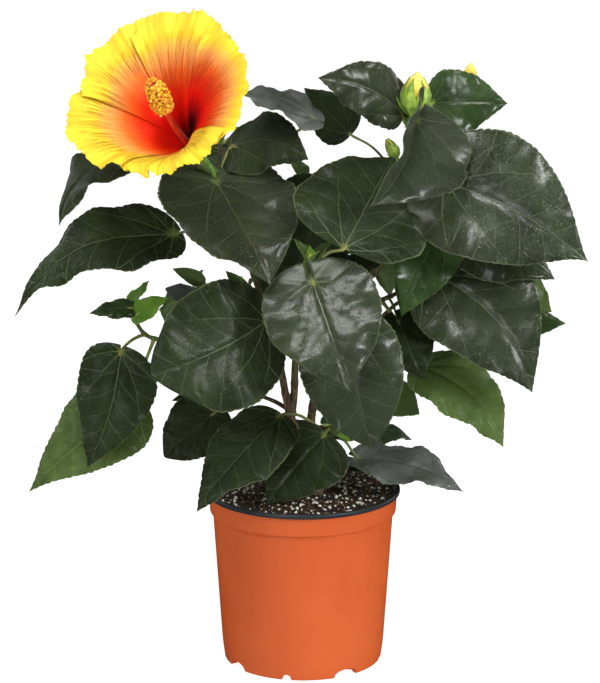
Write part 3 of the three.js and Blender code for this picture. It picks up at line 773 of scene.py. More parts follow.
@dataclass(frozen=True)
class BladeMaker:
    """Cuts the fine blades: a crenate margin, ribs that pucker the skin, and a waving edge."""

    tooth: float = 5.0
    tooth_high: float = 0.85
    thick: float = 0.42
    pucker: float = 0.0085  # of a leaf's length
    columns: tuple[float, ...] = (0, 0.03, 0.07, 0.13, 0.21, 0.3, 0.4, 0.5, 0.6, 0.7, 0.8, 0.89, 0.955, 1)

    def rows(self, leaf: Leaf) -> tuple[Array, Array]:
        """Where rows of points lie along a blade, and where each one is in its tooth."""
        fine = np.linspace(0, 1, 1200) ** 2.2
        sideways, ahead = leaf.flat(fine, np.ones_like(fine))
        length = leaf.axes()[0]
        steps = np.hypot(np.diff(sideways), np.diff(ahead)) * length
        run = np.concatenate([[0], np.cumsum(steps)])
        teeth = max(6, round(run[-1] / self.tooth))
        if length < 34:
            teeth = max(5, round(run[-1] / (0.6 * self.tooth)))
        count = teeth * 4
        places = np.linspace(0, run[-1], count + 1)[1:-1]
        return np.interp(places, run, fine), (np.arange(1, count) % 4) / 4

    def pucker_of(self, leaf: Leaf, x: Array, y: Array) -> Array:
        """How high the skin stands between its ribs, from 0 on a rib to 1 between two."""
        side, reach = np.abs(x), np.hypot(x, y)
        turn = np.arctan2(side, y)
        bend = 1 - RAY_BEND * reach
        first, second = FIRST_RAY * bend, SECOND_RAY * bend
        start = np.where(turn > second, second, np.where(turn > first, first, 0))
        ahead, off = reach * np.cos(turn - start), reach * np.sin(turn - start)
        count = (ahead - RIB_LEAN * off + 1.1 * off * off) / RIB_STEP
        count = count + 0.25 * np.sign(x) + 0.37 * (turn > first)
        between = np.sin(math.pi * ((count + 0.5) % 1)) ** 0.8
        rays = np.minimum.reduce([side, reach * np.abs(turn - first), reach * np.abs(turn - second)])
        return between * smooth(rays, 0, 0.045) * 0.75 + 0.9 * smooth(rays, 0, 0.03)

    def cut(self, surface: Surface, leaf: Leaf, seed: int) -> None:
        """Adds one blade to a piece.

        Args:
            surface: the piece.
            leaf: the blade.
            seed: what its own ripples are drawn from.
        """
        draw = Seeded(seed * 7919 + 17)
        length = leaf.axes()[0]
        along, phase = self.rows(leaf)
        across = np.array([-c for c in self.columns[:0:-1]] + list(self.columns))
        t, a = np.meshgrid(along, across, indexing="ij")
        half = np.maximum(np.abs(leaf.flat(along, np.ones_like(along))[0]) * length, 1.5)
        notch = np.sin(math.pi * phase**1.25) ** 0.7
        high = self.tooth_high * min(1, length / 60) * smooth(along, 0.004, 0.05) * smooth(1 - along, 0, 0.05)
        high = high * (0.75 + 0.45 * np.sin(along * 47 + seed))
        grown = 1 + np.outer(high * (notch - 0.45) / half, np.ones_like(across)) * np.abs(a) ** 7
        drip = (1 - t**8) ** max(leaf.tail, 0) * (1 + max(-leaf.tail, 0) * t**3)
        x, y = leaf.flat(t, a * drip)
        waves = 1.7 + 1.2 * draw(), 1.7 + 1.2 * draw()
        turns = draw() * 6.3, draw() * 6.3
        wave = np.where(
            a < 0,
            np.sin(2 * math.pi * waves[0] * t + turns[0]),
            np.sin(2 * math.pi * waves[1] * t + turns[1]),
        )
        small = np.sin(2 * math.pi * 5.3 * t + turns[1] + 2 * a)
        calm = smooth(t, 0, 0.12) * smooth(1 - t, 0, 0.25)
        size = min(1.2, length / 70)
        lift = leaf.ripple * size * wave * np.abs(a) ** 2.2 * calm + 0.3 * leaf.ripple * size * small * np.abs(a) ** 4 * calm
        lift = lift + self.pucker * length * self.pucker_of(leaf, x, y) * (1 - np.abs(a) ** 6)
        quilt = np.stack([x * 3.6 + seed * 1.7, y * 2.8 + seed * 0.9, np.zeros_like(x)], axis=-1)
        lift = lift + 0.022 * length * lumps(quilt, 1, 31) * smooth(t, 0, 0.15)
        lift = lift - (0.5 + 0.9 * draw()) * size * smooth(np.abs(a), 0.72, 1.0) * calm
        lift = lift + abs(leaf.fold) * np.clip(a * np.sign(leaf.fold or 1), 0, 1) ** 1.15 * half[:, None]
        tip_hang = (0.02 + 0.03 * draw()) * length * smooth(t, 0.72, 1.0) ** 2
        lift = lift - tip_hang
        depth = 0.5 * self.thick * (1 - 0.35 * np.abs(a) ** 3) * min(1, 0.5 + length / 120)
        rib = 0.55 * np.exp(-((a / 0.045) ** 2)) * (1 - t) * min(1, length / 60)
        lower_depth = depth + rib

        def skin(height: Array) -> Array:
            """The blade's points at a height, with the teeth of its margin."""
            wider = a * grown * drip
            return leaf.at(t, np.clip(wider, -1.2, 1.2), height)

        upper = surface.add(skin(lift + depth))
        lower = surface.add(skin(lift - lower_depth))
        foot = surface.add(np.array([leaf.at(0.0, 0.0, depth.max()), leaf.at(0.0, 0.0, -depth.max() - 0.4)]))
        end_lift = float(lift[-1].mean())
        head = surface.add(np.array([leaf.at(1.0, 0.0, end_lift + 0.1), leaf.at(1.0, 0.0, end_lift - 0.1)]))
        top, bottom = surface.cell(), surface.cell()
        span = 0.52 * leaf.wide
        spread = pairs(0.5 + 0.5 * x / span, np.clip((y + 0.22) / 1.22, 0, 1))
        blade, edge = pairs(x, y), pairs(a, t)
        under = len(UPPER) + (1 if leaf.look in (Look.FRESH, Look.YOUNG) else 0)
        for numbers, finish, cell, tips, flip in (
            (upper, leaf.look.value, top, (foot[0], head[0]), True),
            (lower, under, bottom, (foot[1], head[1]), False),
        ):
            surface.grid(numbers, finish, cell, spread, flip, blade=blade, edge=edge)
            for row, tip, spot, turned_over in (
                (0, tips[0], (0.0, 0.0), flip),
                (-1, tips[1], (0.0, 1.0), not flip),
            ):
                ends = numbers[row]
                fan = np.stack([ends[1:], ends[:-1], np.full(len(ends) - 1, tip)], axis=1)
                place = [0.5, (spot[1] + 0.22) / 1.22]
                tip_pairs = {
                    "spread": (spread[row], place),
                    "blade": (blade[row], list(spot)),
                    "edge": (edge[row], [0.0, spot[1]]),
                }
                made = {
                    key: np.stack([v[1:], v[:-1], np.broadcast_to(p, v[1:].shape)], axis=1)
                    for key, (v, p) in tip_pairs.items()
                }
                if turned_over:
                    fan, made = fan[:, ::-1], {key: v[:, ::-1] for key, v in made.items()}
                surface.face(fan, finish, cell, **made)
        # the cut edge, all round from the foot past the tip and back
        loop_up = np.concatenate([[foot[0]], upper[:, 0], [head[0]], upper[::-1, -1], [foot[0]]])
        loop_low = np.concatenate([[foot[1]], lower[:, 0], [head[1]], lower[::-1, -1], [foot[1]]])
        sides = [[[0.5, 0.18]], spread[:, 0], [[0.5, 1.0]], spread[::-1, -1], [[0.5, 0.18]]]
        laid = np.concatenate([np.asarray(s) for s in sides])
        flat = np.concatenate([[[0, 0]], blade[:, 0], [[0, 1]], blade[::-1, -1], [[0, 0]]])
        quads = np.stack([loop_up[:-1], loop_low[:-1], loop_low[1:], loop_up[1:]], axis=1)
        round_ = {
            "spread": np.stack([laid[:-1], laid[:-1], laid[1:], laid[1:]], axis=1),
            "blade": np.stack([flat[:-1], flat[:-1], flat[1:], flat[1:]], axis=1),
        }
        surface.face(quads, leaf.look.value, top, edge=np.full((len(quads), 4, 2), [1.0, 0.5]), **round_)


def leaf(base: Point, tip: Point, face: Point, look: Look = Look.DARK, **shape: float) -> Leaf:
    """A leaf by its base, its tip and the way that it faces, with its own shape."""
    return Leaf(base, tip, face, look=look, **shape)


# ---- The plant's tables ------------------------------------------------------------------------


@dataclass(frozen=True)
class Limb:
    """A tapering stem or bough through its points, from its foot."""

    path: tuple[Point, ...]
    foot: float
    tip: float
    flare: float = 0.0
    age: tuple[float, float] = (0.0, 0.3)  # how green it is at its foot and its tip


@dataclass(frozen=True)
class BudPlan:
    """A bud on its own short stalk."""

    base: Point
    aim: Point
    radius: float
    length: float
    shows: float = 0.0  # how much of its petals shows above the sepals


@dataclass(frozen=True)
class Spray:
    """A mass of foliage: its stem, the leaves listed one by one, its buds, and what grows by rule."""

    stem: Limb
    leaves: tuple[Leaf, ...] = ()
    buds: tuple[BudPlan, ...] = ()
    centre: Point | None = None
    half: Point = (1, 1, 1)
    seed: int = 0
    count: int = 0
    length: float = 0.0


FOOT = 117.35
LIMBS = {
    "stem_front": Limb(((8, -6, FOOT), (4, -5, 130), (-1, -5, 147), (-8, -8, 169)), 3.9, 3.3, 1.4, (0, 0.05)),
    "stem_rear": Limb(((3, 13, FOOT), (5, 10, 145), (6, 10, 169), (12, 8, 200)), 3.2, 2.6, 1, (0, 0.15)),
    "bough_left": Limb(
        ((-8, -8, 169), (-11, -12, 184), (-16, -18, 212), (-23, -24, 232), (-27, -28, 256), (-35, -26, 281)),
        2.6, 1.9, 0, (0.05, 0.55),
    ),
    "bough_centre": Limb(((-8, -8, 169), (-6, -10, 186), (-5, -18, 214), (-2, -32, 240)), 2.6, 2.1, 0, (0.1, 0.75)),
    "bough_right": Limb(
        ((12, 8, 200), (18, 6, 222), (32, 5, 252), (48, 3, 284), (58, 1, 308), (65, 0, 330)),
        2.6, 1.7, 0, (0.15, 0.75),
    ),
    "bough_young": Limb(((-17, -19, 214), (-45, -24, 217), (-70, -22, 221), (-90, -20, 226)), 1.9, 1.5, 0, (0.2, 0.8)),
    "bough_back_left": Limb(((-16, -18, 206), (-30, 4, 216), (-46, 22, 232)), 1.9, 1.6, 0, (0.1, 0.5)),
    "bough_back_top": Limb(((-31, -27, 268), (-40, -6, 288), (-50, 18, 306)), 1.8, 1.5, 0, (0.4, 0.7)),
    "bough_back": Limb(((9, 9, 186), (7, 26, 206), (2, 42, 236)), 2.2, 1.8, 0, (0.05, 0.5)),
    "bough_back_right": Limb(((30, 5, 248), (48, 24, 262), (68, 40, 278)), 2, 1.7, 0, (0.2, 0.6)),
    "bough_back_low": Limb(((15, 7, 211), (34, 24, 216), (52, 42, 226)), 1.8, 1.5, 0, (0.1, 0.5)),
}

DARK, DEEP, GLOSS, FRESH, YOUNG, PAINTED_SHEEN = Look
SPRAYS = {
    "leaves_bloom": Spray(
        Limb(((-35, -26, 281), (-44, -22, 300), (-52, -16, 318), (-57, -12, 331)), 1.9, 1.5),
        (
            leaf((-57, -20, 333), (-21, -88, 281), (0, -0.5, 0.9), DEEP, wide=0.97, lobe=0.24, fold=-0.25),
            leaf((7, -14, 374), (-42, -16, 392), (0, -0.35, 0.95), PAINTED_SHEEN, wide=0.7, arch=0.11, lobe=0.14),
            leaf((-47, -5, 354), (3, -30, 351), (0, -0.8, 0.6), DARK, wide=0.85, bend=0.14, cup=-0.2, lobe=0.1),
            leaf((-99, 0, 352), (-161, -25, 307), (-0.3, -0.4, 0.85), DARK, wide=0.6, arch=0.12, bend=-0.13),
            leaf(
                (-85, -15, 297), (-191, -35, 249), (0, -0.6, 0.8), DARK,
                wide=0.53, arch=0.1, bend=-0.11, point=0.6, lobe=0.05,
            ),
        ),
    ),
    "leaves_young": Spray(
        Limb(((-90, -20, 226), (-104, -18, 230), (-112, -15, 240)), 1.5, 1.2, 0, (0.8, 1)),
        (
            leaf((-120, -30, 222), (-143, -45, 146), (-0.1, -1, 0.2), DARK, wide=0.68, bend=0.06, point=0.2, lobe=0.05),
            leaf((-112, -5, 180), (-185, -20, 122), (-0.1, -0.95, 0.3), FRESH, wide=0.64, bend=-0.02, point=0.5, lobe=0.05),
            leaf((-113, -17, 248), (-141, -22, 246), (0, -0.8, 0.6), GLOSS, wide=0.5),
            leaf((-115, -13, 249), (-102, -4, 264), (-0.7, -0.7, 0.2), YOUNG, wide=0.5),
            leaf((-110, -20, 244), (-89, -28, 258), (0, -0.8, 0.6), YOUNG, wide=0.6),
        ),
    ),
    "leaves_left": Spray(
        Limb(((-27, -28, 252), (-32, -34, 256), (-36, -38, 262)), 1.6, 1.3),
        (
            leaf((-24, -60, 250), (-96, -100, 225), (0, -1, 0.25), DARK, wide=0.87, bend=0.05, point=-0.45, lobe=0.08, tail=-0.5),
            leaf((-72, 20, 245), (-93, 25, 252), (0, -0.8, 0.6), PAINTED_SHEEN, wide=0.7, tail=-0.3),
        ),
    ),
    "leaves_low": Spray(
        Limb(((-9, -10, 176), (-18, -4, 180), (-30, 0, 184)), 1.6, 1.3, 0, (0.1, 0.5)),
        (
            leaf((-60, -8, 173), (-93, -18, 146), (-0.2, -0.8, 0.3), DARK, wide=1, tail=-0.4),
            leaf((-38, 4, 190), (-89, 8, 178), (0, -0.8, 0.5), GLOSS, wide=0.45),
        ),
    ),
    "leaves_centre": Spray(
        Limb(((-2, -32, 240), (1, -44, 260), (5, -56, 276), (5, -60, 286)), 2.1, 1.5, 0, (0.75, 1)),
        (
            leaf((6, -75, 279), (29, -118, 219), (0, -0.85, 0.5), DEEP, wide=0.96, point=-0.15),
            leaf((26, -72, 300), (61, -4, 350), (0, -0.9, 0.4), DARK, wide=1, lobe=0),
            leaf((25, -65, 248), (44, -78, 170), (0, -1, 0.2), DEEP, wide=0.8, point=-0.15, lobe=0.12, tail=-0.3),
            leaf((9, -45, 276), (51, -30, 282), (0, -0.6, 0.8), DARK, wide=0.75),
        ),
        (BudPlan((5, -58, 284), (0, -0.1, 1), 4, 13),),
    ),
    "leaves_foot": Spray(
        Limb(((6, 10, 158), (12, 4, 160), (18, 0, 160)), 1.6, 1.3, 0, (0.05, 0.4)),
        (
            leaf((-15, -22, 176), (-70, -72, 126), (-0.2, -0.75, 0.6), DARK, wide=0.58, lobe=0.02),
            leaf((14, -8, 158), (-24, -45, 122), (0.2, -0.7, 0.7), DARK, wide=0.88, lobe=0.05),
            leaf((22, 16, 157), (75, 28, 145), (0, -0.4, 0.9), GLOSS, wide=0.6),
            leaf((37, -8, 142), (107, -30, 127), (0, -0.4, 0.9), PAINTED_SHEEN, wide=0.48, arch=0.1, point=-0.5, lobe=0.1),
        ),
    ),
    "leaves_top": Spray(
        Limb(((65, 0, 330), (69, -1, 348), (70, -3, 366)), 1.7, 1.4, 0, (0.75, 1)),
        (
            leaf((31, 26, 357), (1, 20, 389), (0, -1, 0.3), DARK, wide=0.75, lobe=0.03),
            leaf((66, 0, 373), (10, -20, 402), (0, -0.95, 0.3), DEEP, wide=0.5, arch=0.08, bend=-0.1, point=-0.7, lobe=0),
            leaf((86, 25, 378), (135, 15, 380), (0, -0.9, 0.4), GLOSS, wide=0.92, arch=0.05, lobe=0.1),
            leaf((72, -42, 379), (45, -86, 331), (0.66, -0.73, 0.1), DEEP, wide=0.92, bend=0.05, cup=0.85),
            leaf((13, 20, 317), (-8, 0, 263), (0.2, -0.9, 0.3), DEEP, wide=1, point=-0.4),
        ),
        (
            BudPlan((73, -4, 375), (0.05, -0.15, 1), 10, 30, 0.36),
            BudPlan((59, 4, 384), (-0.1, 0, 1), 5.5, 13),
            BudPlan((110, 35, 384), (0.1, 0, 1), 6, 20, 0.8),
            BudPlan((62, 6, 345), (-0.5, 0, 0.9), 4, 14),
        ),
    ),
    "leaves_right": Spray(
        Limb(((58, 1, 306), (70, -4, 312), (82, -8, 320), (88, -14, 328)), 1.8, 1.4),
        (
            leaf((92, -46, 338), (182, -78, 293), (0, -0.95, 0.3), DEEP, wide=0.84, arch=0.05, bend=0.05, point=0.1, tail=0.8),
            leaf((98, -16, 301), (164, -42, 274), (0, -0.8, 0.5), DEEP, wide=0.62, point=-0.2),
            leaf((91, -34, 306), (64, -52, 251), (0.1, -0.95, 0.3), GLOSS, wide=0.7, bend=-0.04),
            leaf((137, -12, 262), (165, -15, 245), (0.2, -0.9, 0.3), FRESH, wide=0.95),
            leaf((139, -12, 238), (174, -18, 238), (0.2, -0.9, 0.3), GLOSS, wide=0.55),
        ),
    ),
    "leaves_lower_right": Spray(
        Limb(((27, 5, 240), (42, 0, 246), (56, -4, 252), (66, -8, 258)), 1.8, 1.4),
        (
            leaf((87, -25, 272), (149, -62, 203), (0, -1, 0.35), DEEP, wide=0.77, bend=0.11, lobe=0.02),
            leaf((63, -22, 240), (79, -42, 206), (0, -1, 0.2), DARK, wide=0.92),
            leaf((78, -12, 207), (133, -40, 160), (0.2, -0.85, 0.5), FRESH, wide=0.57, bend=0.11, point=-0.2, lobe=0.05),
            leaf((55, -5, 189), (79, 0, 170), (0, -0.9, 0.2), FRESH, wide=0.8),
        ),
    ),
    "leaves_back_left": Spray(
        Limb(((-46, 22, 232), (-58, 36, 244), (-68, 48, 250)), 1.6, 1.2),
        centre=(-68, 68, 206), half=(52, 74, 56), seed=5, count=14, length=66,
    ),
    "leaves_back_top": Spray(
        Limb(((-50, 18, 306), (-54, 34, 324), (-56, 46, 346)), 1.5, 1.2),
        centre=(-56, 66, 330), half=(66, 74, 62), seed=11, count=14, length=68,
    ),
    "leaves_back": Spray(
        Limb(((2, 42, 236), (4, 52, 262), (8, 60, 290)), 1.8, 1.2),
        (leaf((-6, 42, 292), (-27, 38, 236), (0, -0.9, 0.3), DARK, wide=0.62),),
        centre=(22, 80, 256), half=(70, 82, 66), seed=9, count=16, length=74,
    ),
    "leaves_back_right": Spray(
        Limb(((68, 40, 278), (78, 46, 300), (84, 50, 326)), 1.7, 1.2),
        centre=(102, 66, 298), half=(76, 78, 78), seed=3, count=16, length=74,
    ),
    "leaves_back_low": Spray(
        Limb(((52, 42, 226), (66, 52, 236), (78, 60, 240)), 1.5, 1.2),
        centre=(72, 66, 205), half=(66, 74, 50), seed=7, count=14, length=66,
    ),
}


# ---- Growth by rule ----------------------------------------------------------------------------


@dataclass(frozen=True)
class Growth:
    """The rule that leaves grow by, up a stem at a golden angle, wherever there is room."""

    tries: int = 24
    nudge: float = 53.0
    droop: tuple[float, float] = (20.0, 70.0)
    stalk: tuple[float, float] = (16.0, 40.0)
    room: float = 9.0

    def grow(self, spray: Spray, taken: list[Array]) -> list[Leaf]:
        """The leaves of one spray that grow by rule.

        Args:
            spray: the spray, with its stem and its space.
            taken: the points that all earlier leaves and limbs hold; the new ones are added.

        Returns:
            The new leaves.
        """
        draw = Seeded(spray.seed)
        curve = Curve(spray.stem.path)
        grown: list[Leaf] = []
        for i in range(spray.count):
            root = curve.at((i + 0.6) / spray.count)
            for turn in range(self.tries):
                angle = math.radians(i * GOLDEN_ANGLE + turn * self.nudge + 40 * draw())
                droop = math.radians(draw.between(*self.droop))
                reach = draw.between(*self.stalk)
                size = spray.length * (0.8 + 0.35 * draw())
                out = np.array([math.cos(angle), math.sin(angle), 0.0])
                base = root + out * reach * 0.85 + UP * reach * 0.5
                tip = base + out * size * math.cos(droop) - UP * size * math.sin(droop)
                look = (Look.DARK, Look.DEEP, Look.DARK, Look.GLOSS)[(i + spray.seed) % 4]
                made = Leaf(tuple(base), tuple(tip), tuple(out * 0.8 + UP), arch=0.1, look=look)
                points = made.samples()
                held = np.linalg.norm((points - spray.centre) / np.array(spray.half, float), axis=1)
                gaps = np.sum((points[:, None] - np.concatenate(taken)[None]) ** 2, axis=2)
                if (held < 1).all() and (gaps > self.room**2).all():
                    taken.append(points)
                    grown.append(made)
                    break
        return grown

    def foliage(self) -> dict[str, tuple[Leaf, ...]]:
        """Every spray's leaves, those listed and then those grown."""
        taken = [Curve(limb.path).spaced(8) for limb in LIMBS.values()]
        taken += [made.samples() for spray in SPRAYS.values() for made in spray.leaves]
        full = {}
        for name, spray in SPRAYS.items():
            grown = self.grow(spray, taken) if spray.centre else []
            full[name] = (*spray.leaves, *grown)
        return full


# ---- Finishes of the other pieces --------------------------------------------------------------


@dataclass(frozen=True)
class PlasticFinish:
    """Thin moulded plastic: satin, faintly streaked round, with scuffs and a fine orange peel."""

    name: str
    ground: str
    faded: str
    gloss: float = 0.3
    scuff: float = 0.3

    def material(self) -> bpy.types.Material:
        """Makes the material."""
        bench = Bench(self.name, coat_weight=0.06, coat_roughness=0.18, specular_ior_level=0.35)
        spot = bench.spot()
        cloud = bench.noise(spot, 14.0, 3, 0.55)
        streak = bench.noise(bench.spot((220, 220, 18)), 1.0, 3, 0.6)
        peel = bench.noise(spot, 900.0, 2, 0.5)
        scratch = bench.noise(bench.spot((60, 60, 900)), 1.0, 4, 0.7).fades(0.63, 0.75, 0, 1)
        dust = bench.noise(spot, 60.0, 4, 0.7).fades(0.55, 0.75, 0, 1)
        colour = bench.mix(cloud.fades(0.3, 0.7, 0, 1), linear(self.ground), linear(self.faded))
        colour = bench.mix(streak.fades(0.45, 0.8, 0, 0.2), colour, linear(self.faded))
        colour = bench.mix(scratch * self.scuff * 0.35, colour, linear("e9b79c"))
        rough = self.gloss + 0.08 * cloud + 0.12 * scratch + 0.1 * dust
        return bench.finish(colour, rough, peel * 0.3 + 0.5 * streak - 0.5 * scratch, 0.05)


@dataclass(frozen=True)
class EarthFinish:
    """Moist mix or bits of it: clotted, with darker wet spots."""

    name: str
    wet: str
    dry: str
    light: str
    scale: float = 260.0
    rough: float = 0.85
    relief: float = 0.9

    def material(self) -> bpy.types.Material:
        """Makes the material."""
        bench = Bench(self.name, specular_ior_level=0.35)
        spot = bench.spot()
        coarse = bench.noise(spot, self.scale, 5, 0.7)
        fine = bench.noise(spot, self.scale * 5, 4, 0.7)
        colour = bench.ramp(
            coarse * 0.65 + fine * 0.35,
            ((0.3, self.wet), (0.52, self.dry), (0.68, self.light)),
        )
        rough = self.rough - 0.25 * coarse.fades(0.3, 0.5)
        return bench.finish(colour, rough, coarse + 0.4 * fine, self.relief)


@dataclass(frozen=True)
class BarkFinish:
    """Young wood: grey-brown and cracked at its foot, turning smooth and green up the limb."""

    name: str = "bark"

    def material(self) -> bpy.types.Material:
        """Makes the material."""
        bench = Bench(self.name, specular_ior_level=0.4)
        _, _, age = bench.place("wood")
        spot = bench.spot()
        crack = bench.noise(bench.spot((420, 420, 60)), 1.0, 4, 0.7)
        fine = bench.noise(spot, 900.0, 4, 0.7)
        cloud = bench.noise(spot, 70.0, 3, 0.6)
        pore = bench.value(
            "ShaderNodeTexVoronoi", {"feature": "F1"}, {"Vector": bench.spot((1, 1, 0.6)), "Scale": 420.0}
        ).fades(0.1, 0.22)
        wood = bench.ramp(
            crack * 0.6 + fine * 0.4, ((0.28, "1c130c"), (0.45, "3c2d1e"), (0.6, "6a583f"), (0.75, "9a876a"))
        )
        green = bench.mix(cloud, linear("3c5020"), linear("5f7430"))
        share = (age + 0.35 * (cloud - 0.5)).fades(0.25, 0.75, 0, 1)
        colour = bench.mix(share, wood, green)
        colour = bench.mix(pore * 0.5, colour, linear("cbb592"))
        rough = 0.8 - 0.35 * share + 0.1 * fine
        return bench.finish(colour, rough, crack * (1 - 0.8 * share) + 0.3 * fine + 0.3 * pore, 0.35)


@dataclass(frozen=True)
class StalkFinish:
    """Leaf stalks and soft green shoots, finely ribbed, with a few hairs' shine."""

    name: str
    ground: str
    flush: str

    def material(self) -> bpy.types.Material:
        """Makes the material."""
        bench = Bench(self.name, sheen_weight=0.15)
        _, around, along = bench.place("wood")
        cloud = bench.noise(bench.spot(), 60.0, 3, 0.6)
        rib = (around * 60.0).math("SINE")
        colour = bench.mix(cloud.fades(0.35, 0.65, 0, 1), linear(self.ground), linear(self.flush))
        colour = bench.mix(along.fades(0.0, 0.25) * 0.4, colour, linear("6e5a34"))
        return bench.finish(colour, 0.42 + 0.15 * cloud, 0.5 * rib + cloud, 0.08)


@dataclass(frozen=True)
class PetalFinish:
    """Petal skin: tinted in bands from the throat to the rim, with fine branching streaks."""

    name: str
    bands: tuple[tuple[float, str], ...]
    streak: str
    streak_share: float = 0.4

    def material(self) -> bpy.types.Material:
        """Makes the material."""
        bench = Bench(
            self.name,
            subsurface_weight=0.1,
            subsurface_scale=0.001,
            specular_ior_level=0.2,
        )
        _, across, along = bench.place("petal")
        stretch = bench.node("ShaderNodeCombineXYZ", {}, {0: across * 14.0, 1: along * 0.5, 2: across * 0.5})
        where = Value(bench, stretch.outputs[0])
        broad = bench.noise(where, 1.0, 2, 0.55)
        fine = bench.noise(where, 2.7, 3, 0.6)
        crease = bench.noise(bench.spot(), 240.0, 3, 0.6)
        place = along + 0.11 * (broad - 0.5) + 0.05 * (fine - 0.5) + 0.05 * abs(across)
        colour = bench.ramp(place, self.bands)
        line = abs(fine - 0.5).fades(0.0, 0.05) * along.fades(0.55, 0.95) * along.fades(0.3, 0.5, 0, 1)
        colour = bench.mix(line * self.streak_share, colour, linear(self.streak))
        height = fine + 0.5 * broad + 0.25 * crease - 0.6 * line
        return bench.finish(colour, 0.5 + 0.12 * fine, height, 0.35)


@dataclass(frozen=True)
class SoftFinish:
    """A plain soft skin with cloudy tints, for anthers, pads, sepals and bits."""

    name: str
    ground: str
    tint: str
    scale: float = 300.0
    rough: float = 0.6
    relief: float = 0.15

    def material(self) -> bpy.types.Material:
        """Makes the material."""
        bench = Bench(self.name, sheen_weight=0.1)
        cloud = bench.noise(bench.spot(), self.scale, 4, 0.65)
        grain = bench.noise(bench.spot(), self.scale * 6, 3, 0.6)
        colour = bench.mix(cloud.fades(0.35, 0.65, 0, 1), linear(self.ground), linear(self.tint))
        return bench.finish(colour, self.rough + 0.1 * grain, cloud + 0.4 * grain, self.relief)


# ---- Pot and soil ------------------------------------------------------------------------------


def rounded(profile: Sequence[tuple[float, float, float]], steps: int = 4) -> Array:
    """A profile whose corners are rounded.

    Args:
        profile: radius, height and corner radius of each corner.
        steps: how many steps go round a corner.

    Returns:
        Pairs of radius and height.
    """
    made: list[Array] = []
    for i, (x, z, r) in enumerate(profile):
        here = np.array([x, z])
        if r <= 0 or i in (0, len(profile) - 1):
            made.append(here)
            continue
        before, after = (np.array(profile[j][:2]) - here for j in (i - 1, i + 1))
        cut = min(r, 0.45 * np.linalg.norm(before), 0.45 * np.linalg.norm(after))
        start, end = here + unit(before) * cut, here + unit(after) * cut
        for step in range(steps + 1):
            t = step / steps
            made.append(start * (1 - t) ** 2 + 2 * here * t * (1 - t) + end * t * t)
    return np.array(made)


@dataclass(frozen=True)
class Pot:
    """The tapered nursery pot: orange outside, slate inside and over its rolled lip."""

    height: float = 120.0
    lip: float = 65.9
    lip_foot: float = 117.0
    foot: float = 53.4
    collar_top: float = 63.8
    collar_foot: float = 63.0
    shoulder: float = 61.0
    wall: float = 1.6
    collar: float = 103.6
    feet: int = 4
    turn: float = 33.0
    sides: int = 256

    def build(self) -> None:
        """Turns the pot, cuts its feet and dresses it."""
        top = self.height
        outer = [
            (0, 0.6, 0), (self.foot - 15, 0.6, 1), (self.foot - 13, 3.2, 1), (self.foot - 7, 3.2, 1),
            (self.foot - 5, 0, 0.8), (self.foot, 0, 1.1), (self.foot + 1.55, 11.4, 9),
            (self.shoulder - 0.05, self.collar - 2.2, 1.0), (self.shoulder - 0.35, self.collar - 0.6, 0.5),
            (self.collar_foot, self.collar + 0.5, 0.9), (self.collar_top, self.lip_foot - 0.5, 0.3),
            (self.collar_top + 0.1, self.lip_foot, 0.2),
        ]
        inner = [
            (self.lip - 0.3, self.lip_foot, 0.3), (self.lip, self.lip_foot + 1.2, 0.9), (self.lip - 0.3, top - 0.2, 0.8),
            (self.collar_top - 0.6, top, 0.8), (self.collar_top - self.wall - 0.3, top - 1.4, 0.8),
            (self.foot - self.wall, 5, 2), (0, 4.8, 0),
        ]
        skin, lining = rounded(outer), rounded(inner)
        surface = Surface()
        kinds = [0] * (len(skin) - 1) + [1] * len(lining)
        turned(surface, np.concatenate([skin, lining]), self.sides, kinds)
        finishes = [
            PlasticFinish("orange_plastic", "b94e1d", "c35723").material(),
            PlasticFinish("slate_plastic", "1f2327", "2a2f34", gloss=0.38).material(),
        ]
        body = surface.build("pot_body", finishes)
        cutter = Surface()
        for i in range(self.feet):
            turn = math.radians(self.turn - 90 + i * 360 / self.feet)
            self._opening(cutter, 18, 5.6, 12, turn)
            self._opening(cutter, 7, 4.2, 2, turn + math.pi / self.feet)
        tool = cutter.build("pot_cutter", finishes[:1])
        cut = body.modifiers.new("feet", "BOOLEAN")
        cut.operation, cut.solver, cut.object = "DIFFERENCE", "EXACT", tool
        soften = body.modifiers.new("edges", "BEVEL")
        soften.width, soften.segments, soften.limit_method = 0.3 * MM, 2, "ANGLE"
        soften.angle_limit = math.radians(50)
        graph = bpy.context.evaluated_depsgraph_get()
        made = bpy.data.meshes.new_from_object(body.evaluated_get(graph))
        body.modifiers.clear()
        body.data = made
        bpy.data.objects.remove(tool)
        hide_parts("pot")

    def _opening(self, surface: Surface, wide: float, high: float, steps: int, turn: float) -> None:
        """Adds the cutter of one opening in the foot ring."""
        angles = np.arange(1, 2 * steps) / (2 * steps) * math.pi
        top = np.stack([-wide / 2 * np.cos(angles), high * np.sin(angles) ** 0.7], axis=1)
        outline_ = np.array([(-wide / 2, -1), (-wide / 2, 0), *map(tuple, top), (wide / 2, 0), (wide / 2, -1)])
        out = np.array([math.cos(turn), math.sin(turn), 0])
        side = np.array([-math.sin(turn), math.cos(turn), 0])
        flat = np.outer(outline_[:, 0], side) + np.outer(outline_[:, 1], UP)
        near, far = surface.add(flat + out * (self.foot - 6.5)), surface.add(flat + out * (self.foot + 6))
        ring = np.arange(len(outline_))
        after = np.roll(ring, -1)
        surface.face(np.stack([near[ring], far[ring], far[after], near[after]], axis=1))
        surface.face(near[None, :])
        surface.face(far[None, ::-1])


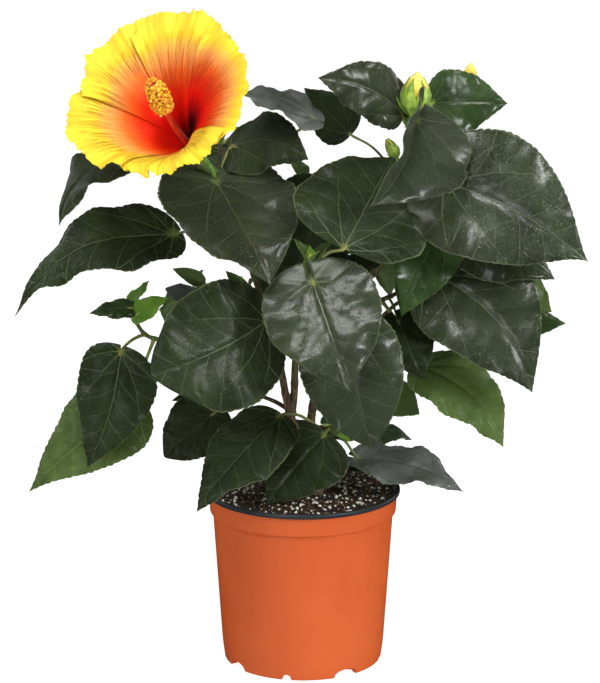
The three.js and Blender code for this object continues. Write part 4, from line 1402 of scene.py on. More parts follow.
@dataclass(frozen=True)
class Soil:
    """The bed of potting mix, heaped a little, with white perlite and bits of bark."""

    radius: float = 61.6
    crown: float = 116.9
    edge: float = 115.4
    perlite: int = 900
    chips: int = 700

    def height(self, x: Array, y: Array) -> Array:
        """The height of the bed at a place."""
        far = np.hypot(x, y) / self.radius
        place = np.stack(np.broadcast_arrays(x, y, np.zeros_like(x)), axis=-1)
        heap = 2.0 * np.exp(-(((x - 40) / 26) ** 2) - ((y - 22) / 26) ** 2)
        rough = 1.0 * lumps(place, 9, 3) + 0.75 * lumps(place, 4, 4) + 0.45 * lumps(place, 1.9, 5)
        return self.crown + (self.edge - self.crown) * far**2 + heap + rough * smooth(1.04 - far, 0, 0.12)

    def build(self) -> None:
        """Makes the bed and its bits."""
        surface = Surface()
        rings, sides = 110, 300
        radii = self.radius * (np.arange(1, rings + 1) / rings)
        angles = np.arange(sides + 1) / sides * 2 * math.pi
        r, a = np.meshgrid(radii, angles, indexing="ij")
        x, y = r * np.cos(a), r * np.sin(a)
        points = np.stack([x, y, self.height(x, y)], axis=-1)
        numbers = surface.add(points[:, :-1])
        closed = np.concatenate([numbers, numbers[:, :1]], axis=1)
        flat = pairs(0.5 + 0.5 * x / self.radius, 0.5 + 0.5 * y / self.radius)
        cell = surface.cell()
        surface.grid(closed, 0, cell, flat)
        middle = surface.add(np.array([[0, 0, float(self.height(np.zeros(1), np.zeros(1))[0])]]))[0]
        fan = np.stack([closed[0][:-1], closed[0][1:], np.full(sides, middle)], axis=1)
        around = np.stack([flat[0][:-1], flat[0][1:], np.full((sides, 2), 0.5)], axis=1)
        surface.face(fan, 0, cell, around)
        foot = points[-1, :-1] * [0.87, 0.87, 0] + [0, 0, 8]
        low = surface.add(foot)
        low = np.append(low, low[0])
        surface.grid(np.stack([closed[-1], low]), 0, cell, np.full((2, sides + 1, 2), 0.5))
        bottom = surface.add(np.array([[0, 0, 8.0]]))[0]
        under = np.stack([low[:-1], low[1:], np.full(sides, bottom)], axis=1)[:, ::-1]
        surface.face(under[:, ::-1], 0, cell, np.full((sides, 3, 2), 0.5))
        bed = surface.build("soil_bed", [EarthFinish("potting_mix", "0e0906", "281910", "5c4028").material()])
        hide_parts("soil")
        draw = Seeded(41)
        white = SoftFinish("perlite", "d8d2c2", "f8f5ec", 700, 0.9, 0.3).material()
        brown = EarthFinish("bark_chip", "1c0f08", "5a3b20", "b28a54", 500, 0.75, 0.5).material()
        self._bits("perlite_bits", self.perlite, draw, white, (0.3, 1.6), (1, 0.8, 0.7))
        self._bits("bark_bits", self.chips, draw, brown, (0.5, 1.9), (1.5, 0.6, 0.35))

    def _bits(
        self,
        name: str,
        count: int,
        draw: Seeded,
        finish: bpy.types.Material,
        size: tuple[float, float],
        shape: Point,
    ) -> None:
        """Scatters one kind of bit over the bed, half sunk in it.

        Args:
            name: the piece's name.
            count: how many there are.
            draw: where the run of random numbers stands.
            finish: the bits' finish.
            size: the smallest and the largest radius.
            shape: how each bit is stretched.
        """
        ball, faces = ball_of(2)
        surface = Surface()
        for i in range(count):
            angle, far = 2 * math.pi * draw(), math.sqrt(draw()) * (self.radius - 1.2)
            radius = size[0] + (size[1] - size[0]) * draw() ** 3
            turn, tilt = 2 * math.pi * draw(), 0.9 * (draw() - 0.5)
            form = ball * (1 + 0.28 * lumps(ball * 1.4 + i * 3.1, 1.0, 9))[:, None] * shape * radius
            lean = np.array([[math.cos(tilt), 0, math.sin(tilt)], [0, 1, 0], [-math.sin(tilt), 0, math.cos(tilt)]])
            spin = np.array([[math.cos(turn), -math.sin(turn), 0], [math.sin(turn), math.cos(turn), 0], [0, 0, 1]])
            x, y = far * math.cos(angle), far * math.sin(angle)
            if math.hypot(x - 8, y + 6) < 6 or math.hypot(x - 3, y - 13) < 5:
                continue
            z = float(self.height(np.array([x]), np.array([y]))[0]) + 0.25 * radius * shape[2]
            numbers = surface.add(form @ lean.T @ spin.T + [x, y, z])
            surface.face(numbers[faces])
        piece = surface.build(name, [finish])


def ball_of(rings: int) -> tuple[Array, Array]:
    """A round bit of radius 1: its points and its three-cornered faces.

    Args:
        rings: how many times its eight sides are halved.

    Returns:
        The points and the faces.
    """
    points = [np.array(p, float) for p in ((1, 0, 0), (-1, 0, 0), (0, 1, 0), (0, -1, 0), (0, 0, 1), (0, 0, -1))]
    faces = [(0, 2, 4), (2, 1, 4), (1, 3, 4), (3, 0, 4), (2, 0, 5), (1, 2, 5), (3, 1, 5), (0, 3, 5)]
    for _ in range(rings - 1):
        middles: dict[tuple[int, int], int] = {}

        def middle(a: int, b: int) -> int:
            """The point between two others."""
            key = (min(a, b), max(a, b))
            if key not in middles:
                middles[key] = len(points)
                points.append(unit(points[a] + points[b]))
            return middles[key]

        finer = []
        for a, b, c in faces:
            ab, bc, ca = middle(a, b), middle(b, c), middle(c, a)
            finer += [(a, ab, ca), (ab, b, bc), (ca, bc, c), (ab, bc, ca)]
        faces = finer
    return np.array(points), np.array(faces)


# ---- Stems, stalks and foliage -----------------------------------------------------------------


@dataclass(frozen=True)
class Wood:
    """The stems and boughs, with the bark's relief, joints where leaves grew, and their scars."""

    sides: int = 28
    ring: float = 0.9
    joint: float = 17.0

    def path(self, limb: Limb, sunk: float = 3.0) -> tuple[Array, Array]:
        """A limb's centre line, run on a little way into what carries it, and its bare radii."""
        curve = Curve(limb.path)
        steps = max(8, round(curve.length / self.ring))
        line = curve.spaced(steps)
        share = np.linspace(0, 1, steps + 1)
        radii = limb.foot + (limb.tip - limb.foot) * share + limb.flare * np.exp(-7 * share)
        start = line[0] - unit(line[1] - line[0]) * sunk
        return np.concatenate([[start], line]), np.concatenate([[radii[0]], radii])

    def grow(self, surface: Surface, limb: Limb, seed: int) -> None:
        """Adds one limb with its relief."""
        line, radii = self.path(limb)
        draw = Seeded(seed + 3)
        run = np.concatenate([[0], np.cumsum(np.linalg.norm(np.diff(line, axis=0), axis=1))])
        angles = np.arange(self.sides) / self.sides * 2 * math.pi
        s, a = np.meshgrid(run, angles, indexing="ij")
        place = np.stack([2.2 * np.cos(a) + seed, 2.2 * np.sin(a), s * 0.16], axis=-1)
        ridges = lumps(place, 0.55, 5) * 0.6 + lumps(place * 2.3, 0.6, 6) * 0.4
        fine = lumps(np.stack([np.cos(a) * 4, np.sin(a) * 4, s * 1.4], axis=-1), 1, 7)
        old = 1 - 0.75 * np.interp(run / run[-1], [0, 1], limb.age)[:, None]
        relief = (0.2 * ridges + 0.07 * fine) * old
        spot = self.joint * (0.4 + 0.5 * draw())
        turn = draw() * 360
        while spot < run[-1] - 3:
            swell = np.exp(-(((s - spot) / 2.2) ** 2))
            facing = np.cos(a - math.radians(turn))
            scar = np.exp(-(((s - spot - 0.6) / 1.1) ** 2)) * smooth(facing, 0.75, 0.95)
            relief = relief + 0.3 * swell + 0.55 * np.exp(-(((s - spot + 0.9) / 1.5) ** 2)) * smooth(facing, 0.4, 1) - 0.35 * scar
            turn += GOLDEN_ANGLE
            spot += self.joint * (0.7 + 0.6 * draw())
        tube(surface, line, radii[:, None] + relief * (radii / 3)[:, None] ** 0.5, 0, limb.age)

    def build(self) -> None:
        """Makes the stems and boughs as one piece."""
        surface = Surface()
        for seed, limb in enumerate(LIMBS.values()):
            self.grow(surface, limb, seed)
        piece = surface.build("woody_stems", [BarkFinish().material()])
        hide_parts(*LIMBS)


@dataclass(frozen=True)
class Shoots:
    """The fine growth of each spray: its twig, leaf stalks, scale leaves and growing tip."""

    twig_sides: int = 16
    stalk_foot: float = 1.25
    stalk_tip: float = 0.85
    sunk: float = 5.0

    @staticmethod
    def root_on(curve: Curve, base: Array) -> Array:
        """Where a stalk leaves the twig: a little below the leaf's base."""
        places = curve.spaced(16)

        def nearest(target: Array) -> Array:
            """The place on the twig nearest to a point."""
            return places[int(np.argmin(np.linalg.norm(places - target, axis=1)))]

        lower = base.copy()
        lower[2] -= 0.45 * np.linalg.norm(nearest(base) - base)
        return nearest(lower)

    def stalk(self, surface: Surface, made: Leaf, curve: Curve, finish: int) -> None:
        """Adds the stalk of a leaf, swollen at both ends, which runs on as its midrib."""
        length, forward, upper, _ = made.axes()
        base = np.array(made.base, float)
        root = self.root_on(curve, base)
        middle = root + 0.55 * (base - root)
        middle[2] += 0.1 * np.linalg.norm(base - root)
        entry = base + forward * self.sunk + upper * (made.arch * self.sunk * 4 - 0.5)
        line = Curve((root, middle, base, entry)).spaced(22)
        share = np.linspace(0, 1, 23)
        size = min(1.0, 0.55 + length / 160)
        radii = self.stalk_foot + (self.stalk_tip - self.stalk_foot) * share
        radii = radii + 0.35 * np.exp(-((share / 0.07) ** 2)) + 0.22 * np.exp(-(((share - 0.82) / 0.06) ** 2))
        radii = np.where(share > 0.9, radii * (1.0 - 4 * (share - 0.9)), radii)
        tube(surface, line, np.repeat((radii * size)[:, None], 9, axis=1), finish, (0, 1))

    def twig(self, surface: Surface, spray: Spray, roots: Sequence[Array], seed: int) -> None:
        """Adds the spray's own twig, with a swelling at each stalk and a tip that tapers off."""
        curve = Curve(spray.stem.path)
        steps = max(10, round(curve.length / 1.2))
        line = curve.spaced(steps)
        start = line[0] - unit(line[1] - line[0]) * 3
        line = np.concatenate([[start], line])
        share = np.concatenate([[0], np.linspace(0, 1, steps + 1)])
        radii = spray.stem.foot + (spray.stem.tip - spray.stem.foot) * share
        for root in roots:
            far = np.linalg.norm(line - root, axis=1)
            radii = radii + 0.28 * np.exp(-((far / 2.0) ** 2))
        angles = np.arange(self.twig_sides) / self.twig_sides * 2 * math.pi
        s, a = np.meshgrid(np.arange(len(line)) * 1.2, angles, indexing="ij")
        relief = 0.09 * lumps(np.stack([2 * np.cos(a) + seed, 2 * np.sin(a), s * 0.3], axis=-1), 0.8, 8)
        tube(surface, line, radii[:, None] + relief, 0, spray.stem.age)

    def scales(self, surface: Surface, root: Array, aim: Array, seed: int) -> None:
        """Adds the pair of narrow scale leaves at the foot of a stalk."""
        first, second, third = frame_at(aim + 0.01)
        draw = Seeded(seed + 5)
        for side in (-1, 1):
            out = unit(first * side + 0.3 * second * (draw() - 0.5) + third * 0.9)
            length = 4.5 + 3 * draw()
            line = np.array([root + out * length * t + UP * 1.2 * t * t for t in np.linspace(0, 1, 7)])
            radii = 0.42 * (1 - np.linspace(0, 1, 7)) ** 0.7 + 0.05
            tube(surface, line, np.repeat(radii[:, None], 6, axis=1), 1, (0.6, 1))

    def build(self, foliage: Mapping[str, tuple[Leaf, ...]]) -> None:
        """Makes all twigs, stalks and scale leaves as one piece."""
        surface = Surface()
        for seed, (name, spray) in enumerate(SPRAYS.items()):
            curve = Curve(spray.stem.path)
            roots = [self.root_on(curve, np.array(made.base, float)) for made in foliage[name]]
            self.twig(surface, spray, roots, seed)
            for i, (made, root) in enumerate(zip(foliage[name], roots)):
                self.stalk(surface, made, curve, 1 if made.look in (Look.FRESH, Look.YOUNG, Look.GLOSS) else 2)
                self.scales(surface, root, np.array(made.base, float) - root, seed * 31 + i)
        finishes = [
            BarkFinish("twig_bark").material(),
            StalkFinish("stalk_green", "7f9440", "93a552").material(),
            StalkFinish("stalk_dusky", "5e6f33", "7d7a3c").material(),
        ]
        piece = surface.build("twigs", finishes)


@dataclass(frozen=True)
class Foliage:
    """All leaf blades, one piece for each spray, with small young leaves at the growing tips."""

    maker: BladeMaker = field(default_factory=BladeMaker)

    def tips(self, spray: Spray, seed: int) -> list[Leaf]:
        """The young leaves that unfold round the tip of a spray's twig."""
        draw = Seeded(seed * 13 + 7)
        curve = Curve(spray.stem.path)
        end, before = curve.at(1.0), curve.at(0.85)
        first, second, third = frame_at(end - before)
        made = []
        for i in range(4):
            angle = math.radians(i * GOLDEN_ANGLE + 60 * draw())
            out = first * math.cos(angle) + second * math.sin(angle)
            size = 20 - 4 * i + 4 * draw()
            lean = 0.9 - 0.2 * i
            base = end + third * (0.5 + i) + out * 1.5
            tip = base + unit(third + out * lean) * size
            face = unit(third - out * 0.6)
            look = Look.YOUNG if i > 1 else Look.FRESH
            shape = Leaf(tuple(base), tuple(tip), tuple(face), wide=0.5, cup=0.5, lobe=0.12, ripple=0.8, look=look)
            made.append(shape)
        return made

    def build(self, foliage: Mapping[str, tuple[Leaf, ...]]) -> None:
        """Makes the blades of every spray."""
        finishes = [finish.material() for finish in (*UPPER, *LOWER)]
        for seed, (name, spray) in enumerate(SPRAYS.items()):
            surface = Surface()
            leaves = list(foliage[name])
            if name not in ("leaves_young",):
                leaves += self.tips(spray, seed)
            for i, made in enumerate(leaves):
                self.maker.cut(surface, made, seed * 37 + i)
            piece = surface.build("blades_" + name.removeprefix("leaves_"), finishes)
            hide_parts(name)


# ---- Buds and bloom ----------------------------------------------------------------------------


@dataclass(frozen=True)
class Buds:
    """The closed buds: five keeled sepals, a ring of narrow bracts, and furled petals."""

    def sepals(self, surface: Surface, plan: BudPlan) -> None:
        """Adds the five sepals, pressed together, with their points a little apart."""
        axes = frame_at(plan.aim)
        origin = np.array(plan.base, float)
        rise = np.linspace(0, 1, 26)
        top = 1 - 0.42 * min(1, plan.shows)
        profile = np.interp(rise, [0, 0.05, 0.3, 0.5, 0.75, 1], [0.1, 0.5, 0.95, 1.0, 0.78, 0.2 + 0.4 * plan.shows])
        for i in range(5):
            mid = 2 * math.pi * i / 5
            across = np.linspace(-1, 1, 13)
            v, u = np.meshgrid(rise, across, indexing="ij")
            half = (2 * math.pi / 5) * 0.56 * np.where(v < 0.45, 1, np.clip((1.02 - v) / 0.57, 0.02, 1) ** 0.8)
            angle = mid + u * half
            keel = 0.1 * np.exp(-((u / 0.22) ** 2)) * smooth(v, 0, 0.2)
            curl = 0.16 * plan.shows * smooth(v, 0.6, 1.0) ** 2
            radius = plan.radius * (profile[:, None] + keel + curl + 0.03 * (i % 2))
            height = plan.length * top * v
            self._petal(surface, origin, axes, radius, angle, height, 0.5, 0, pairs(u, v))

    @staticmethod
    def _petal(
        surface: Surface,
        origin: Array,
        axes: tuple[Array, Array, Array],
        radius: Array,
        angle: Array,
        height: Array,
        thick: float,
        finish: int,
        place: Array,
    ) -> None:
        """Adds one curved flap with two skins and a closed edge."""
        def points(r: Array) -> Array:
            """The flap's points at a radius."""
            out = np.multiply.outer(r * np.cos(angle), axes[0]) + np.multiply.outer(r * np.sin(angle), axes[1])
            return origin + out + np.multiply.outer(height, axes[2])

        outer, inner = surface.add(points(radius)), surface.add(points(np.maximum(radius - thick, 0.02)))
        cell = surface.cell()
        spread = 0.5 + 0.5 * place * [1, 0] + (place - 0.5) * [0, 1]
        surface.grid(outer, finish, cell, spread, True, petal=place, wood=place)
        surface.grid(inner, finish, cell, spread, False, petal=place, wood=place)
        for a, b, laid in (
            (outer[:, 0], inner[:, 0], place[:, 0]),
            (inner[:, -1], outer[:, -1], place[:, -1]),
            (inner[0], outer[0], place[0]),
            (outer[-1], inner[-1], place[-1]),
        ):
            both, strip = np.stack([a, b], axis=1), np.stack([laid, laid], axis=1)
            surface.grid(both, finish, cell, np.full((*both.shape, 2), 0.5), True, petal=strip, wood=strip)

    def petals(self, surface: Surface, plan: BudPlan) -> None:
        """Adds the furled petals: a pointed spindle with a spiral seam."""
        axes = frame_at(plan.aim)
        origin = np.array(plan.base, float)
        v, u = np.meshgrid(np.linspace(0, 1, 34), np.linspace(0, 1, 41), indexing="ij")
        shape = np.interp(v, [0, 0.1, 0.4, 0.65, 0.88, 1], [0.2, 0.5, 0.82, 0.8, 0.4, 0.03])
        angle = 2 * math.pi * u
        seam = np.abs(np.sin(2.5 * (angle + 3.2 * v)))
        radius = plan.radius * shape * (0.86 + 0.14 * seam**0.5)
        out = np.multiply.outer(radius * np.cos(angle), axes[0]) + np.multiply.outer(radius * np.sin(angle), axes[1])
        points = origin + out + np.multiply.outer(v * plan.length * 0.99, axes[2])
        numbers = surface.add(points[:, :-1])
        closed = np.concatenate([numbers, numbers[:, :1]], axis=1)
        cell = surface.cell()
        place = pairs(2 * u - 1, v)
        surface.grid(closed, 1, cell, pairs(u, v), petal=place)
        tip = surface.add(points[-1, :-1].mean(axis=0)[None])[0]
        fan = np.stack([closed[-1][:-1], closed[-1][1:], np.full(len(closed[-1]) - 1, tip)], axis=1)
        surface.face(fan, 1, cell, np.full((len(fan), 3, 2), 1.0), petal=np.full((len(fan), 3, 2), [0.0, 1.0]))

    def bracts(self, surface: Surface, plan: BudPlan, count: int = 7) -> None:
        """Adds the narrow bracts under the sepals."""
        first, second, third = frame_at(plan.aim)
        origin = np.array(plan.base, float)
        for i in range(count):
            angle = 2 * math.pi * (i + 0.3) / count
            out = first * math.cos(angle) + second * math.sin(angle)
            t = np.linspace(0, 1, 9)
            reach = plan.radius * (0.35 + 0.95 * t**0.8)
            rise = plan.length * 0.42 * t**1.3
            line = origin + np.outer(reach, out) + np.outer(rise, third)
            radii = plan.radius * 0.085 * np.sin(math.pi * np.clip(t * 0.93 + 0.07, 0, 1)) ** 0.6 + 0.06
            tube(surface, line, np.repeat(radii[:, None], 7, axis=1), 0, (0.4, 1))

    def build(self) -> None:
        """Makes every bud of every spray as one piece."""
        surface = Surface()
        for spray in SPRAYS.values():
            curve = Curve(spray.stem.path)
            for plan in spray.buds:
                self.sepals(surface, plan)
                self.petals(surface, plan)
                self.bracts(surface, plan)
                base, aim = np.array(plan.base, float), unit(np.array(plan.aim, float))
                root = Shoots.root_on(curve, base)
                line = Curve((root, base - aim * 4, base + aim * 2)).spaced(14)
                size = np.interp(np.linspace(0, 1, 15), [0, 0.2, 0.8, 1], [1.3, 1.1, 1.15, 1.9])
                tube(surface, line, np.repeat(size[:, None], 10, axis=1), 0, (0.3, 1))
        finishes = [
            SoftFinish("bud_green", "5c8420", "96b23c", 160, 0.42, 0.2).material(),
            PetalFinish(
                "bud_petal",
                ((0.3, "c7b24a"), (0.62, "e8cf55"), (0.85, "f0dd6a"), (1.0, "e8d878")),
                "d9a33a",
                0.25,
            ).material(),
        ]
        piece = surface.build("buds", finishes)


@dataclass(frozen=True)
class Bloom:
    """The open bloom: five broad overlapping petals, the column with its anthers, and the cup."""

    stalk: tuple[Point, ...] = ((-57, -12, 331), (-59, -18, 340), (-63, -28, 349))
    throat: Point = (-73, -48, 363)
    axis: Point = (-0.38, -0.72, 0.58)
    turns: tuple[float, ...] = (20, 78, 132, 212, 298)
    blush: tuple[float, ...] = (1.45, 1.15, 1.7, 2.1, 1.6)  # the higher, the further out a petal stays red
    radius: float = 63.5
    low: float = 0.2
    depth: float = 56.0
    lean: float = 4.0
    bowl: float = 0.5  # how far the lowest petals are bowed like a bowl
    column: tuple[Point, ...] = ((0, 0, -9), (-0.5, 2, 24), (-4.4, 14, 57))
    thick: float = 0.5
    rows: int = 76
    columns: int = 91

    def place(self, local: Array) -> Array:
        """Points given about the bloom's axis, in space."""
        first, second, third = frame_at(self.axis)
        return np.array(self.throat, float) + local @ np.stack([first, second, third])

    def spread(self, index: int, along: Array, across: Array) -> tuple[Array, Array]:
        """The angle round the axis of places of a petal, and how low on the bloom they are."""
        angle = np.radians(self.turns[index] + across * (40 + 8 * np.sqrt(along)))
        return angle, np.maximum(0, -np.sin(angle)) ** 2

    def petal_point(self, index: int, along: Array, across: Array, lift: float) -> Array:
        """A place of a petal.

        Args:
            index: which petal.
            along: from its claw, 0, to its rim, 1.
            across: from one side, -1, to the other, 1.
            lift: how far it is lifted off its middle skin.

        Returns:
            The points about the bloom's axis.
        """
        spot = np.stack([across * 3 + 11 * index, along * 2, np.zeros_like(along)], axis=-1)
        ragged = 0.022 * lumps(spot * [4.5, 0, 0], 1, 21) + 0.014 * lumps(spot * [11, 0, 0], 1, 22)
        reach = along * (1 - 0.13 * np.abs(across) ** 3) * (1 + ragged * along**6)
        angle, lowest = self.spread(index, along, across)
        full = (self.radius - 3.5) * (1 - self.low * lowest)
        radius = 3.5 + full * reach**1.3 + lift * 0.6
        frill = 2.4 * np.sin(4 * math.pi * across + index) * reach**5
        frill = frill + 2.4 * (1 + lowest) * lumps(spot * [3.4, 1.5, 0], 1, 23) * reach**5
        frill = frill + 1.2 * (1 + lowest) * lumps(spot * [8.5, 2.2, 0], 1, 24) * reach**9
        frill = frill + 0.35 * lumps(spot * [7, 0.6, 0], 1, 25) * smooth(reach, 0.15, 0.5)
        curl = 20 * np.maximum(0, reach - 0.75) * across**2
        flare = 1 - np.maximum(0, 1 - reach) ** 1.7
        rise = self.depth * (flare + self.bowl * lowest * (smooth(reach, 0.25, 0.95) - flare)) - curl
        return np.stack(
            [
                radius * np.cos(angle),
                radius * np.sin(angle) + self.lean * reach**2,
                rise + frill - lift * 0.8 + 2.4 * across * reach,
            ],
            axis=-1,
        )

    def petal(self, surface: Surface, index: int) -> None:
        """Adds one petal with two skins and a closed rim."""
        rows = 1 - (1 - np.linspace(0, 1, self.rows)) ** 1.25
        along, across = np.meshgrid(rows, np.linspace(-1, 1, self.columns), indexing="ij")
        outer = surface.add(self.place(self.petal_point(index, along, across, self.thick / 2)))
        inner = surface.add(self.place(self.petal_point(index, along, across, -self.thick / 2)))
        petal = pairs(across + 2.7 * index, along ** self.blush[index])
        spread = pairs(0.5 + 0.5 * across, along)
        face, back = surface.cell(), surface.cell()
        surface.grid(inner, 0, face, spread, True, petal=petal)
        surface.grid(outer, 1, back, spread, False, petal=petal)
        for a, b, laid, on in (
            (outer[:, 0], inner[:, 0], petal[:, 0], spread[:, 0]),
            (inner[:, -1], outer[:, -1], petal[:, -1], spread[:, -1]),
            (inner[0], outer[0], petal[0], spread[0]),
            (outer[-1], inner[-1], petal[-1], spread[-1]),
        ):
            both, strip, laid_on = np.stack([a, b], axis=1), np.stack([laid, laid], axis=1), np.stack([on, on], axis=1)
            surface.grid(both, 0, face, laid_on, False, petal=strip)

    def pillar(self, surface: Surface) -> None:
        """Adds the column, the many anthers round its upper part, and the five pads at its tip."""
        line = Curve(self.column).spaced(60)
        share = np.linspace(0, 1, 61)
        radii = 2.5 - 1.0 * share + 0.8 * np.exp(-((share / 0.12) ** 2))
        tube(surface, self.place(line), np.repeat(radii[:, None], 18, axis=1), 0, (0, 1))
        ball, faces = ball_of(3)
        axes = np.stack(frame_at(tuple(line[-1] - line[-4])))
        draw = Seeded(77)
        count = 230
        for i in range(count):
            share = (i + draw()) / count
            angle = math.radians(i * GOLDEN_ANGLE)
            out = np.array([math.cos(angle), math.sin(angle), 0.1 + 0.5 * share]) @ axes
            reach = 1.8 + 4.2 * draw() ** 0.6 * math.sin(math.pi * (0.16 + 0.7 * share)) + 0.8 * draw()
            start = line[41 + int(18 * share)]
            end = start + unit(out) * (1.0 + reach)
            tube(surface, self.place(np.linspace(start, end, 4)), np.full((4, 5), 0.16), 0, (0.8, 1), ends=False)
            size = 0.85 + 0.4 * draw()
            form = ball * [size * 1.25, size * 0.85, size * 0.8]
            spin = 6.3 * draw()
            turn = np.array([[math.cos(spin), -math.sin(spin), 0], [math.sin(spin), math.cos(spin), 0], [0, 0, 1]])
            numbers = surface.add(self.place(form @ turn.T + end))
            surface.face(numbers[faces], 1 + (i * 7) % 3 // 2)
        for i in range(5):
            angle = math.radians(i * 72 + 20)
            out = np.array([math.cos(angle), math.sin(angle), 1.1]) @ axes
            start = line[-1]
            end = start + unit(out) * 3.6
            tube(surface, self.place(np.linspace(start, end, 6)), np.full((6, 6), 0.3), 0, (0.9, 1), ends=False)
            numbers = surface.add(self.place(ball * [1.15, 1.15, 0.8] + end))
            surface.face(numbers[faces], 3)

    def cup(self, surface: Surface) -> None:
        """Adds the green cup: five pointed sepals over narrow bracts, and the flower's stalk."""
        heights = np.array([-14, -13.2, -11, -7, -2, 2, 7, 12, 17])
        widths = np.array([0.5, 3.4, 5.6, 7.4, 8.3, 9.2, 10.8, 13.6, 16.6])
        for i in range(5):
            v, u = np.meshgrid(np.linspace(0, 1, 30), np.linspace(-1, 1, 15), indexing="ij")
            height = -13.8 + v * 30
            half = (2 * math.pi / 5) * 0.53 * np.where(v < 0.5, 1, np.clip((1.01 - v) / 0.51, 0.02, 1) ** 0.85)
            angle = 2 * math.pi * (i + 0.5) / 5 + u * half
            radius = np.interp(height, heights, widths) + 0.5 * np.exp(-((u / 0.2) ** 2)) * smooth(v, 0.1, 0.4)
            radius = radius + 0.9 + 0.15 * (i % 2)
            Buds._petal(
                surface, np.array(self.throat, float), frame_at(self.axis), radius, angle, height, 0.6, 0, pairs(u, v)
            )
        for i in range(7):
            angle = 2 * math.pi * i / 7
            t = np.linspace(0, 1, 11)
            reach, rise = 5.5 + 9.0 * t**1.2, -11.5 + 10 * t**0.9
            line = np.stack([reach * math.cos(angle), reach * math.sin(angle), rise], axis=1)
            radii = 0.75 * np.sin(math.pi * np.clip(0.08 + t * 0.9, 0, 1)) ** 0.7 + 0.06
            tube(surface, self.place(line), np.repeat(radii[:, None], 8, axis=1), 0, (0.4, 1))
        foot = self.place(np.array([[0, 0, -12.0]]))[0]
        line = Curve((*self.stalk, foot)).spaced(34)
        radii = np.interp(np.linspace(0, 1, 35), [0, 0.35, 0.42, 0.5, 1], [1.6, 1.4, 1.9, 1.45, 2.6])
        tube(surface, line, np.repeat(radii[:, None], 14, axis=1), 0, (0.3, 1))

    def build(self) -> None:
        """Makes the bloom's pieces."""
        face = PetalFinish(
            "petal_face",
            (
                (0.0, "10000a"), (0.15, "2a0008"), (0.25, "a00208"), (0.38, "e20a04"), (0.52, "ee2e06"),
                (0.64, "f0641c"), (0.75, "f29448"), (0.85, "eeb24a"), (0.93, "ebc42c"), (1.0, "f0d238"),
            ),
            "b04414",
            0.75,
        )
        back = PetalFinish(
            "petal_back",
            ((0.0, "a04a28"), (0.3, "c86a3c"), (0.55, "dd8c3c"), (0.8, "e6b436"), (1.0, "eecf34")),
            "b8602c",
            0.5,
        )
        surface = Surface()
        for index in range(len(self.turns)):
            self.petal(surface, index)
        petals = surface.build("petals", [face.material(), back.material()])
        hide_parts("bloom")
        pillar = Surface()
        self.pillar(pillar)
        piece = pillar.build(
            "column_and_anthers",
            [
                SoftFinish("column_red", "c42a10", "d4441c", 200, 0.45).material(),
                SoftFinish("anther_gold", "d98a0a", "e8a814", 500, 0.7, 0.3).material(),
                SoftFinish("anther_pale", "eab420", "f2ca48", 500, 0.7, 0.3).material(),
                SoftFinish("pad_orange", "dd7c12", "ea9a20", 500, 0.8, 0.3).material(),
            ],
        )
        cup = Surface()
        self.cup(cup)
        piece = cup.build("flower_cup", [SoftFinish("cup_green", "4f7d28", "7ba03e", 160, 0.45, 0.2).material()])


# ---- Studio ------------------------------------------------------------------------------------


@dataclass(frozen=True)
class Softbox:
    """One square soft light that looks at the plant."""

    name: str
    place: Point
    size: tuple[float, float]
    power: float
    tint: Point = (1.0, 1.0, 1.0)

    def build(self, target: Vector) -> None:
        """Makes the light."""
        light = bpy.data.lights.new(self.name, "AREA")
        light.shape, light.size, light.size_y = "RECTANGLE", *self.size
        light.energy, light.color = self.power, self.tint
        lamp = bpy.data.objects.new(self.name, light)
        lamp.location = self.place
        lamp.rotation_euler = (target - Vector(self.place)).to_track_quat("-Z", "Y").to_euler()
        lamp.visible_camera = False
        bpy.context.scene.collection.objects.link(lamp)


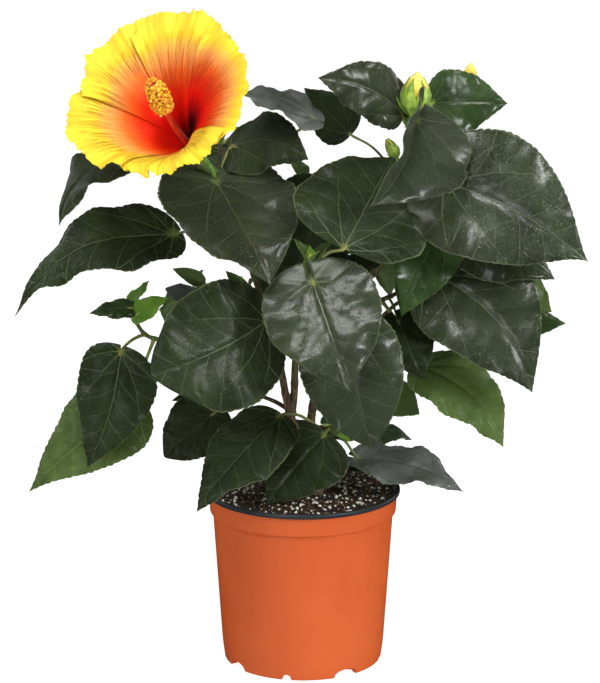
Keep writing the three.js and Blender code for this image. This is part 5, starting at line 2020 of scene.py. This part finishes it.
@dataclass(frozen=True)
class Studio:
    """A pale floor that runs out of view, soft lights, and the camera, in metres."""

    eye: Point = (-0.002, -1.9, 0.7)
    target: Point = (-0.002, 0.0, 0.221)
    lens: float = 154.4
    lights: tuple[Softbox, ...] = (
        Softbox("key", (1.5, -1.4, 1.2), (0.6, 0.6), 36),
        Softbox("left_strip", (-0.95, -1.85, 0.55), (0.22, 1.0), 9),
        Softbox("top", (-0.2, -0.8, 1.9), (0.6, 0.6), 18),
        Softbox("back_left", (-1.5, 1.1, 0.9), (0.5, 1.2), 9),
        Softbox("back_right", (1.6, 1.1, 0.9), (0.5, 1.2), 9),
    )

    def build(self) -> None:
        """Sets the studio up round the plant."""
        scene = bpy.context.scene
        world = bpy.data.worlds.new("studio")
        world.use_nodes = True
        ground = world.node_tree.nodes["Background"]
        ground.inputs["Color"].default_value = (1, 1, 1, 1)
        ground.inputs["Strength"].default_value = 0.1
        world.cycles_visibility.glossy = False
        scene.world = world
        scene.view_settings.view_transform = "Standard"
        surface = Surface()
        far = 30000.0
        corners = np.array([[[-far, -far, 0], [far, -far, 0]], [[-far, far, 0], [far, far, 0]]])
        surface.grid(surface.add(corners))
        white = {"emission_color": (1, 1, 1, 1), "emission_strength": 0.88}
        bench = Bench("floor_card", roughness=0.9, specular_ior_level=0.1, **white)
        grain = bench.noise(bench.spot(), 40.0, 2, 0.5)
        bench.finish(bench.mix(grain, (0.34, 0.34, 0.34, 1), (0.36, 0.36, 0.36, 1)))
        mesh = surface.build("studio_floor", [bench.material])
        mesh.visible_glossy = False
        sun =bpy.data.lights.new("sky", "SUN")
        sun.energy, sun.angle = 0.75, math.radians(70)
        lamp = bpy.data.objects.new("sky", sun)
        lamp.rotation_euler = (math.radians(28), math.radians(8), 0)
        lamp.visible_glossy = False
        scene.collection.objects.link(lamp)
        target = Vector(self.target)
        for light in self.lights:
            light.build(target)
        camera = bpy.data.cameras.new("camera")
        camera.lens, camera.sensor_width, camera.sensor_fit = self.lens, 36, "AUTO"
        camera.clip_start, camera.clip_end = 0.05, 60
        holder = bpy.data.objects.new("camera", camera)
        holder.location = self.eye
        holder.rotation_euler = (target - Vector(self.eye)).to_track_quat("-Z", "Y").to_euler()
        scene.collection.objects.link(holder)
        scene.camera = holder


# ---- Assembly ----------------------------------------------------------------------------------


def main() -> None:
    """Builds the plant piece by piece, then its studio."""
    logging.basicConfig(level=logging.INFO, format="%(name)s: %(message)s")
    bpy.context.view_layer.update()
    foliage = Growth().foliage()
    Pot().build()
    Soil().build()
    Wood().build()
    Shoots().build(foliage)
    Foliage().build(foliage)
    Buds().build()
    Bloom().build()
    Studio().build()


if __name__ == "__main__":
    main()
